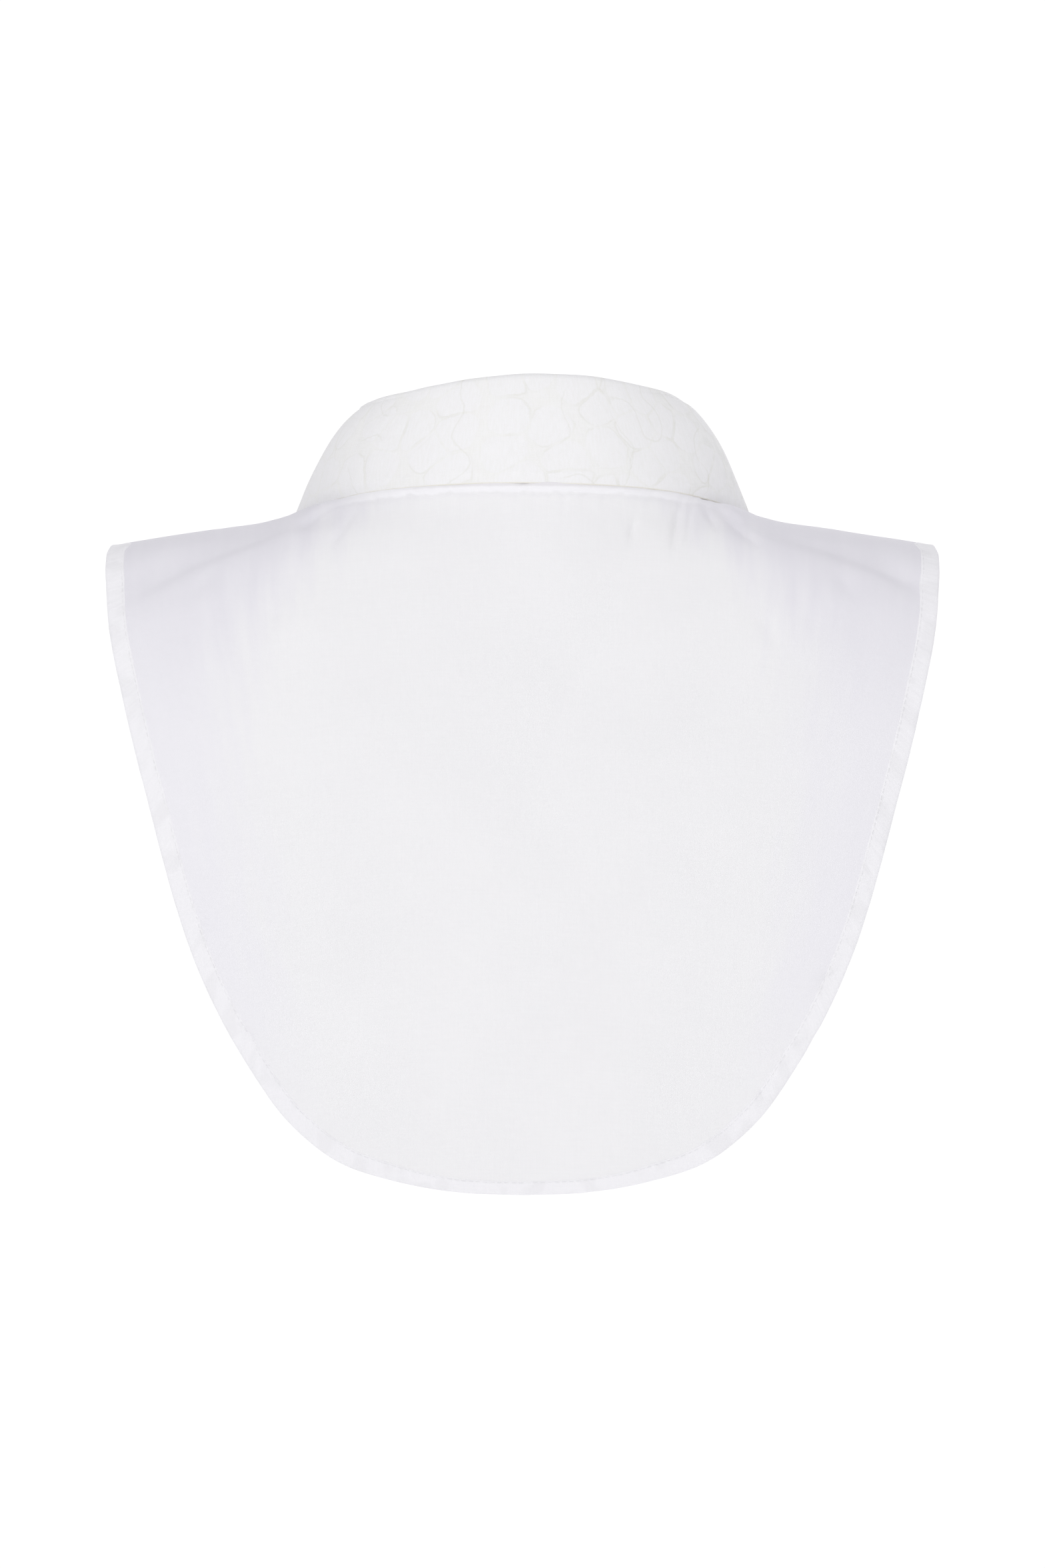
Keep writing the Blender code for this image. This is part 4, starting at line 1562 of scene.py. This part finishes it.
def front_panel(side: Side) -> BibPanel:
    """Front bib panel of one side, from under the shoulder seam to its edge past the centre front.

    Args:
        side: Left or right.

    Returns:
        The panel.
    """
    low, step, far = 94.0, 166.5, 193.0
    angles = spaced(low, step, 100) + spaced(BODY.placket_angle, far - 0.4, 24)
    angles += [far - 0.15, far]
    if side is Side.RIGHT:
        angles = [-angle for angle in reversed(angles)]
    hand = side.name.lower()
    names = (f"{hand}_front_bib", f"front_panel_{hand}")
    marks = FRONT_FOLDS + FRONT_CREASES
    return BibPanel(*names, tuple(angles), 110, marks, 5.3 + side.value, (0.175, 0.300), 0.0400)


@dataclass
class NeckBand:
    """The stand round the neck and the leaf that turns down from it."""

    neck_half_width: float = 0.0620
    neck_back: float = 0.0610
    neck_front: float = 0.0660
    inset: float = 0.0014
    top_half_width: float = 0.0582
    top_back: float = 0.0540
    top_front: float = 0.0635
    top_level: float = 0.0467
    side_fall: float = 0.0100
    corner_fall: float = 0.0014
    corner_power: int = 10
    left_corner: float = 0.0006
    left_corner_at: Pair = (66.0, 25.0)
    right_corner: float = 0.0013
    right_corner_at: Pair = (-78.0, 38.0)
    lean: float = 0.0013
    front_fall: float = 0.0560
    front_power: float = 1.55
    stand_wall: float = 0.0018
    panel_wall: float = 0.0010
    placket_wall: float = 0.0017
    panel_lap: float = 0.0026
    lap_out: float = 0.0022
    lap_start: float = 140.0
    lap_full: float = 166.0
    lap_angle: float = 193.0
    leaf_wall: float = 0.00135
    leaf_relief: float = 0.00045
    leaf_press: float = 0.0046
    left_puff: float = 0.0007
    left_puff_at: Pair = (68.0, 32.0)
    right_puff: float = 0.0018
    right_puff_at: Pair = (-80.0, 34.0)
    puff_power: float = 0.55
    bulge_power: float = 0.8
    bulge_lift: float = 0.55
    leaf_wave: float = 0.0005
    leaf_end: float = 175.5
    roll_leg: float = 0.0010
    roll_radius: float = 0.0013
    roll_steps: int = 8
    fall_rows: int = 56
    columns: int = 430
    stand_columns: int = 260
    free_row: float = 0.985
    last_row: float = 0.994
    creases: tuple[Fold, ...] = (
        Fold(60.0, 0.18, 64.0, 0.92, 2.0, -0.00030),
        Fold(-63.0, 0.25, -66.0, 0.85, 2.4, -0.00025),
        Fold(118.0, 0.30, 124.0, 0.95, 2.6, -0.0006),
        Fold(-126.0, 0.35, -121.0, 0.90, 2.6, -0.0006),
    )
    edge: Table = Table(
        ("angle", "x", "y", "z", "bulge"),
        (
            (0.0, 0.0000, 0.0635, 0.0084, 0.0010),
            (20.0, 0.0262, 0.0586, 0.0079, 0.0012),
            (40.0, 0.0492, 0.0461, 0.0062, 0.0017),
            (60.0, 0.0672, 0.0291, 0.0034, 0.0024),
            (75.0, 0.0777, 0.0118, 0.0004, 0.0031),
            (90.0, 0.0858, -0.0070, -0.0041, 0.0036),
            (105.0, 0.0904, -0.0205, -0.0114, 0.0040),
            (120.0, 0.0899, -0.0350, -0.0222, 0.0044),
            (140.0, 0.0812, -0.0554, -0.0430, 0.0046),
            (160.0, 0.0655, -0.0724, -0.0640, 0.0044),
            (175.5, 0.0500, -0.0832, -0.0810, 0.0030),
        ),
    )

    def lap(self, angle: float) -> float:
        """How far the right end has moved out over the left, from 0 to 1."""
        share = (-angle - self.lap_start) / (self.lap_full - self.lap_start)
        return 0.0 if angle > 0.0 else ease(share)

    def oval(
        self, sizes: tuple[float, float, float], angle: float, out: float
    ) -> tuple[Vector, Vector]:
        """Find a point on an oval round the neck.

        Args:
            sizes: Half width, and depths at the back and the front.
            angle: Angle round the neck.
            out: How far the point moves out, square to the oval.

        Returns:
            The point and the outward direction, seen from above.
        """
        half_width, back, front = sizes
        turn = math.radians(angle)
        depth = back if math.cos(turn) >= 0.0 else front
        normal = Vector((math.sin(turn) * depth, math.cos(turn) * half_width)).normalized()
        point = Vector((half_width * math.sin(turn), depth * math.cos(turn)))
        return point + normal * out, normal

    @property
    def top_sizes(self) -> tuple[float, float, float]:
        """Sizes of the oval at the stand's upper edge."""
        return self.top_half_width, self.top_back, self.top_front

    @property
    def neck_sizes(self) -> tuple[float, float, float]:
        """Sizes of the oval at the neck seam."""
        return self.neck_half_width, self.neck_back, self.neck_front

    def top_at(self, angle: float) -> float:
        """Find the height of the stand's upper edge.

        Args:
            angle: Angle round the neck.

        Returns:
            The height.
        """
        turn = math.radians(angle)
        high = self.top_level - self.corner_fall * math.sin(turn) ** self.corner_power
        high += self.left_corner * bump(angle, *self.left_corner_at)
        high += self.right_corner * bump(angle, *self.right_corner_at)
        if math.cos(turn) >= 0.0:
            return high - self.side_fall * math.sin(turn) ** 2 - self.lean * math.sin(2.0 * turn)
        return high - self.side_fall - self.front_fall * abs(math.cos(turn)) ** self.front_power

    def base_at(self, angle: float) -> float:
        """Height of the stand's lower edge, resting on the panels' neck edge."""
        wall = self.panel_wall if abs(angle) < self.lap_full else self.placket_wall
        lift = (wall + self.panel_lap * self.lap(angle)) * max(BODY.normal(angle, 0.0).z, 0.0)
        return BODY.on_line(angle, 0.0).z + lift + 0.0002

    def stand_point(self, angle: float, down: float) -> Vector:
        """Find a point of the stand's inner face.

        Args:
            angle: Angle round the neck.
            down: Share from its upper edge (0) to its lower edge (1).

        Returns:
            The point.
        """
        out = self.lap_out * self.lap(angle)
        top, _ = self.oval(self.top_sizes, angle, out)
        base, _ = self.oval(self.neck_sizes, angle, out - self.inset)
        height = self.top_at(angle) * (1.0 - down) + self.base_at(angle) * down
        return Vector((*top.lerp(base, down), height))

    def leaf_point(self, angle: float, row: int) -> Vector:
        """Find a point of the leaf's under face: a short leg, the roll, then the fall.

        Args:
            angle: Angle round the neck.
            row: Grid row, from the seam at the stand to the free edge.

        Returns:
            The point.
        """
        out = self.lap_out * self.lap(angle) + self.stand_wall
        foot, normal = self.oval(self.top_sizes, angle, out)
        outward = Vector((*normal, 0.0))
        start = Vector((*foot, self.top_at(angle) + 0.0001))
        leg = Vector((0.0, 0.0, self.roll_leg + 0.0004))
        centre = start + outward * self.roll_radius + leg
        if row == 0:
            return start
        if row <= self.roll_steps + 1:
            turn = math.pi * (row - 1) / self.roll_steps
            spoke = Vector((0.0, 0.0, math.sin(turn))) - outward * math.cos(turn)
            return centre + spoke * self.roll_radius
        fall = self.fall_share(row)
        top = centre + outward * self.roll_radius
        edge = Vector([self.edge.at(name, abs(angle)) for name in ("x", "y", "z")])
        edge.x *= math.copysign(1.0, angle)
        edge += outward * self.lap_out * self.lap(angle)
        swell = self.edge.at("bulge", abs(angle)) * math.sin(math.pi * fall**self.bulge_power)
        lift = Vector((outward.x, outward.y, self.bulge_lift)).normalized()
        puff = self.left_puff * bump(angle, *self.left_puff_at)
        puff += self.right_puff * bump(angle, *self.right_puff_at)
        swell += puff * math.sin(math.pi * fall**self.puff_power)
        soft = self.leaf_wave * rough(angle * 0.045, fall * 1.6, 3.1) * ease(fall * 5.0)
        crease = sum(one.at(angle, fall) for one in self.creases)
        return top.lerp(edge, fall) + lift * (swell + soft + crease)

    def fall_share(self, row: int) -> float:
        """Find the share of the fall at a grid row, with the last rows close to the free edge.

        Args:
            row: Grid row.

        Returns:
            The share.
        """
        last = self.roll_steps + 1 + self.fall_rows
        if row >= last:
            return 1.0
        if row == last - 1:
            return self.last_row
        return self.free_row * (row - self.roll_steps - 1) / (self.fall_rows - 2)

    def build(self, finishes: Finishes) -> list[bpy.types.Object]:
        """Build the stand and the leaf.

        Args:
            finishes: Every finish.

        Returns:
            Both pieces and the stitches on the stand.
        """
        stand, leaf = self.stand(finishes), self.leaf(finishes)
        sewing = self.stand_stitches(finishes)
        return [stand, leaf, sewing]

    def stand(self, finishes: Finishes) -> bpy.types.Object:
        """Build the upright band round the neck.

        Args:
            finishes: Every finish.

        Returns:
            The stand.
        """
        columns = self.stand_columns
        down = (0.0, 0.015, 0.05, 0.2, 0.35, 0.5, 0.65, 0.8, 0.93, 0.985, 1.0)
        thick = (0.55, 0.9, *(1.0,) * 7, 0.9, 0.55)
        spread = spaced(-self.lap_angle, self.lap_angle, columns)
        run = run_along([self.stand_point(angle, 0.5) for angle in spread])

        def place(column: int, row: int) -> Vector:
            """Inner point of a grid vertex."""
            return self.stand_point(spread[column], down[row])

        def wall_of(column: int, row: int) -> float:
            """Wall, rounded at every edge."""
            return self.stand_wall * thick[row] * (0.6 if column in (0, columns) else 1.0)

        def uv_of(column: int, row: int, point: Vector) -> Pair:
            """Cloth coordinates."""
            return run[column], down[row] * 0.040 + 0.3

        def edge_of(column: int, row: int, point: Vector) -> Pair:
            """Place well away from any free edge."""
            return run[column], 0.02

        rows = len(down) - 1
        shell = SheetShell("neck_stand", columns, rows, place, wall_of, uv_of, edge_of)
        return settle(shell.build(finishes.collar), "collar_stand")

    def leaf(self, finishes: Finishes) -> bpy.types.Object:
        """Build the leaf, turned down over the stand.

        Args:
            finishes: Every finish.

        Returns:
            The leaf.
        """
        columns = self.columns
        rows = self.roll_steps + 1 + self.fall_rows
        spread = spaced(-self.leaf_end, self.leaf_end, columns)
        for i, step in enumerate((0.0, 0.18, 0.6)):
            spread[i] = -self.leaf_end + step
            spread[columns - i] = self.leaf_end - step
        middle = self.roll_steps + 1 + self.fall_rows // 2
        run = run_along([self.leaf_point(angle, middle) for angle in spread])
        falls = []
        for angle in spread:
            falls.append(run_along([self.leaf_point(angle, row) for row in range(rows + 1)]))

        def place(column: int, row: int) -> Vector:
            """Under-face point of a grid vertex."""
            return self.leaf_point(spread[column], row)

        def wall_of(column: int, row: int) -> float:
            """Find the wall with its low lobes, rounded at the free edges.

            Args:
                column: Place along the leaf.
                row: Place down its fall.

            Returns:
                The wall.
            """
            off = min(column, columns - column)
            round_side = (0.45, 0.85)[off] if off < 2 else 1.0
            press = ease((falls[column][rows] - falls[column][row]) / self.leaf_press)
            round_foot = 0.10 if row == rows else 0.24 + 0.76 * press
            puff = 0.5 + 0.5 * rough(run[column] * 62.0, falls[column][row] * 70.0, 8.0)
            return min(round_side, round_foot) * (self.leaf_wall + self.leaf_relief * puff)

        def uv_of(column: int, row: int, point: Vector) -> Pair:
            """Cloth coordinates."""
            return run[column], falls[column][row]

        def edge_of(column: int, row: int, point: Vector) -> Pair:
            """Distance along the leaf and away from its free edge."""
            return run[column], falls[column][rows] - falls[column][row]

        shell = SheetShell("collar_leaf_cloth", columns, rows, place, wall_of, uv_of, edge_of)
        return settle(shell.build(finishes.collar), "collar_leaf")

    def stand_stitches(self, finishes: Finishes) -> bpy.types.Object:
        """Sew stitches just above the stand's lower edge.

        Args:
            finishes: Every finish.

        Returns:
            The stitches.
        """
        path = []
        for angle in spaced(1.5 - self.lap_angle, self.lap_angle - 1.5, 599):
            _, normal = self.oval(self.neck_sizes, angle, 0.0)
            outward = Vector((*normal, 0.0))
            path.append((self.stand_point(angle, 0.955) + outward * self.stand_wall, outward))
        row = StitchRow("neck_stand_stitches", 0.0022, 0.0029)
        return settle(row.build([path], finishes.thread))


@dataclass(frozen=True)
class Seat:
    """Place of one button: its node, seat, outward direction and buttonhole's direction."""

    node: str
    at: Vector
    normal: Vector
    along: Vector


@dataclass
class Fastenings:
    """Buttons with their thread, and the stitched buttonholes round them."""

    drops: Pair = (0.22, 0.62)
    front_angle: float = -180.0
    clearance: float = 0.0003
    placket_wall: float = 0.0017
    hole_offset: float = 0.0013
    dish_level: float = 0.0016
    bar_spare: float = 0.0008
    bar_thick: float = 0.00034
    bar_shift: float = 0.00016
    hole_length: float = 0.0145
    hole_width: float = 0.0030
    leg_length: float = 0.0013
    leg_thick: float = 0.00036
    leg_pitch: float = 0.00034
    leg_shift: float = 0.00085
    end_thick: float = 0.0005
    sink: float = 0.00028

    def seats(self, band: NeckBand, front: BibPanel) -> list[Seat]:
        """Find the seats of the buttons.

        Args:
            band: Stand and leaf.
            front: Right front panel.

        Returns:
            One seat for each button.
        """
        angle, turn = self.front_angle, BODY.small_turn
        top, base = band.stand_point(angle, 0.45), band.stand_point(angle, 0.55)
        sideways = band.stand_point(angle + turn, 0.5) - band.stand_point(angle - turn, 0.5)
        normal = sideways.cross(base - top).normalized()
        at = band.stand_point(angle, 0.5) + normal * (band.stand_wall + self.clearance)
        found = [Seat("stand_button", at, normal, sideways.normalized())]
        for number, out in enumerate(self.drops, start=1):
            normal = BODY.normal(angle, out)
            lift = front.lap_out + self.placket_wall + self.clearance
            down = BODY.on_line(angle, out + 0.02) - BODY.on_line(angle, out - 0.02)
            at = BODY.on_line(angle, out) + normal * lift
            found.append(Seat(f"front_button_{number}", at, normal, down.normalized()))
        return found

    def build(
        self, band: NeckBand, front: BibPanel, finishes: Finishes
    ) -> list[bpy.types.Object]:
        """Dress the buttons.

        Args:
            band: Stand and leaf.
            front: Right front panel.
            finishes: Every finish.

        Returns:
            Thread and buttonhole pieces.
        """
        made = []
        for seat in self.seats(band, front):
            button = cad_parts[seat.node]
            button.data.materials.clear()
            button.data.materials.append(finishes.shell)
            made += [self.thread(seat, finishes), self.buttonhole(seat, finishes)]
        return made

    def thread(self, seat: Seat, finishes: Finishes) -> bpy.types.Object:
        """Sew two bars of thread through the four holes.

        Args:
            seat: Place of the button.
            finishes: Every finish.

        Returns:
            The thread.
        """
        shape = bmesh.new()
        turned = seat.normal.to_track_quat("Z", "Y").to_matrix()
        across, up = turned @ Vector((1.0, 0.0, 0.0)), turned @ Vector((0.0, 1.0, 0.0))
        length = 2.0 * self.hole_offset + self.bar_spare
        bar = StitchRow("bar", length, thick=self.bar_thick)
        level = seat.at + seat.normal * (self.dish_level + 0.0001)
        for sign in (-1.0, 1.0):
            for shift in (-self.bar_shift, self.bar_shift):
                bar.add(shape, level + up * (sign * self.hole_offset + shift), across, seat.normal)
        made = StitchRow(seat.node + "_thread").close(shape, finishes.thread)
        return settle(made)

    def buttonhole(self, seat: Seat, finishes: Finishes) -> bpy.types.Object:
        """Sew close stitches on both sides of a slit, with a bar at each end.

        Args:
            seat: Place of the button.
            finishes: Every finish.

        Returns:
            The buttonhole.
        """
        shape = bmesh.new()
        normal, along = seat.normal, seat.along
        across = normal.cross(along).normalized()
        leg = StitchRow("leg", self.leg_length, thick=self.leg_thick)
        base = seat.at - normal * self.sink
        count = int(self.hole_length / self.leg_pitch)
        for i in range(count + 1):
            middle = base + along * self.hole_length * (i / count - 0.5)
            for sign in (-1.0, 1.0):
                leg.add(shape, middle + across * sign * self.leg_shift, across, normal)
        end = StitchRow("end", self.hole_width, thick=self.end_thick)
        for sign in (-1.0, 1.0):
            reach = sign * 0.5 * (self.hole_length + 0.0006)
            end.add(shape, base + along * reach, across, normal)
        made = StitchRow(seat.node + "_buttonhole").close(shape, finishes.thread)
        return settle(made)


@dataclass(frozen=True)
class Lamp:
    """Square soft light: its name, place, side length in metres and power in watts."""

    name: str
    at: tuple[float, float, float]
    size: float
    power: float


@dataclass
class Studio:
    """White floor, soft lights, white surround and the camera."""

    distance: float = 15.0
    object_plane: float = 0.04
    frame_height: float = 0.6115
    centre_height: float = -0.1087
    floor_height: float = -0.48
    floor_half: float = 3.0
    surround: float = 0.655
    surround_tint: Colour = (0.973, 0.964, 1.0)
    seen_surround: float = 1.05
    lamp_tint: Colour = (1.0, 0.998, 0.985)
    aim: tuple[float, float, float] = (0.0, 0.0, -0.10)
    lamps: tuple[Lamp, ...] = (
        Lamp("left_softbox", (1.60, 1.75, 0.70), 1.1, 6.9),
        Lamp("right_softbox", (-1.45, 1.85, 0.70), 1.1, 6.7),
        Lamp("top_softbox", (0.60, 1.00, 1.70), 0.9, 3.6),
        Lamp("front_softbox", (-0.60, -2.4, 0.9), 1.3, 12.0),
    )

    def build(self) -> None:
        """Build everything that isn't the object."""
        self.floor()
        self.world()
        for lamp in self.lamps:
            self.light(lamp)
        self.camera()
        bpy.context.scene.view_settings.view_transform = "Standard"

    def floor(self) -> None:
        """Large floor well under the object."""
        shape = bmesh.new()
        place = Matrix.Translation((0.0, 0.0, self.floor_height))
        size = self.floor_half
        bmesh.ops.create_grid(shape, x_segments=8, y_segments=8, size=size, matrix=place)
        as_object("studio_floor", shape, StudioPaper().make())

    def world(self) -> None:
        """White surround, seen brighter than it lights the object."""
        world = bpy.data.worlds.new("studio_surround")
        bpy.context.scene.world = world
        world.use_nodes = True
        nodes, links = world.node_tree.nodes, world.node_tree.links
        seen = nodes["Background"]
        seen.inputs["Color"].default_value = (1.0, 1.0, 1.0, 1.0)
        seen.inputs["Strength"].default_value = self.seen_surround
        lit = nodes.new("ShaderNodeBackground")
        lit.inputs["Color"].default_value = (*self.surround_tint, 1.0)
        lit.inputs["Strength"].default_value = self.surround
        path = nodes.new("ShaderNodeLightPath")
        mix = nodes.new("ShaderNodeMixShader")
        links.new(path.outputs["Is Camera Ray"], mix.inputs[0])
        links.new(lit.outputs[0], mix.inputs[1])
        links.new(seen.outputs[0], mix.inputs[2])
        links.new(mix.outputs[0], nodes["World Output"].inputs["Surface"])

    def light(self, lamp: Lamp) -> None:
        """Add one square soft light.

        Args:
            lamp: Its name, place, size and power.
        """
        made = bpy.data.lights.new(lamp.name, "AREA")
        made.shape = "SQUARE"
        made.size = lamp.size
        made.energy = lamp.power
        made.color = self.lamp_tint
        holder = bpy.data.objects.new(lamp.name, made)
        holder.location = lamp.at
        towards = Vector(self.aim) - Vector(lamp.at)
        holder.rotation_euler = towards.to_track_quat("-Z", "Y").to_euler()
        bpy.context.scene.collection.objects.link(holder)

    def camera(self) -> None:
        """Level long-lens camera behind the garment, framing it as the photograph does."""
        lens = bpy.data.cameras.new("photo_camera")
        lens.sensor_fit = "VERTICAL"
        lens.sensor_height = 36.0
        lens.lens = lens.sensor_height * (self.distance - self.object_plane) / self.frame_height
        holder = bpy.data.objects.new("photo_camera", lens)
        holder.location = (0.0, self.distance, self.centre_height)
        holder.rotation_euler = (math.radians(90.0), 0.0, math.radians(180.0))
        bpy.context.scene.collection.objects.link(holder)
        bpy.context.scene.camera = holder


def main() -> None:
    """Build every class in order and report each piece."""
    logging.basicConfig(level=logging.INFO, format="%(message)s")
    finishes = Finishes()
    right_front = front_panel(Side.RIGHT)
    band = NeckBand()
    jobs: list[Callable[[], list[bpy.types.Object]]] = [
        lambda: back_panel().build(finishes),
        lambda: front_panel(Side.LEFT).build(finishes),
        lambda: right_front.build(finishes),
        lambda: band.build(finishes),
        lambda: Fastenings().build(band, right_front, finishes),
    ]
    for job in jobs:
        for piece in job():
            LOG.info("%s: %d faces", piece.name, len(piece.data.polygons))
    Studio().build()


if __name__ == "__main__":
    main()
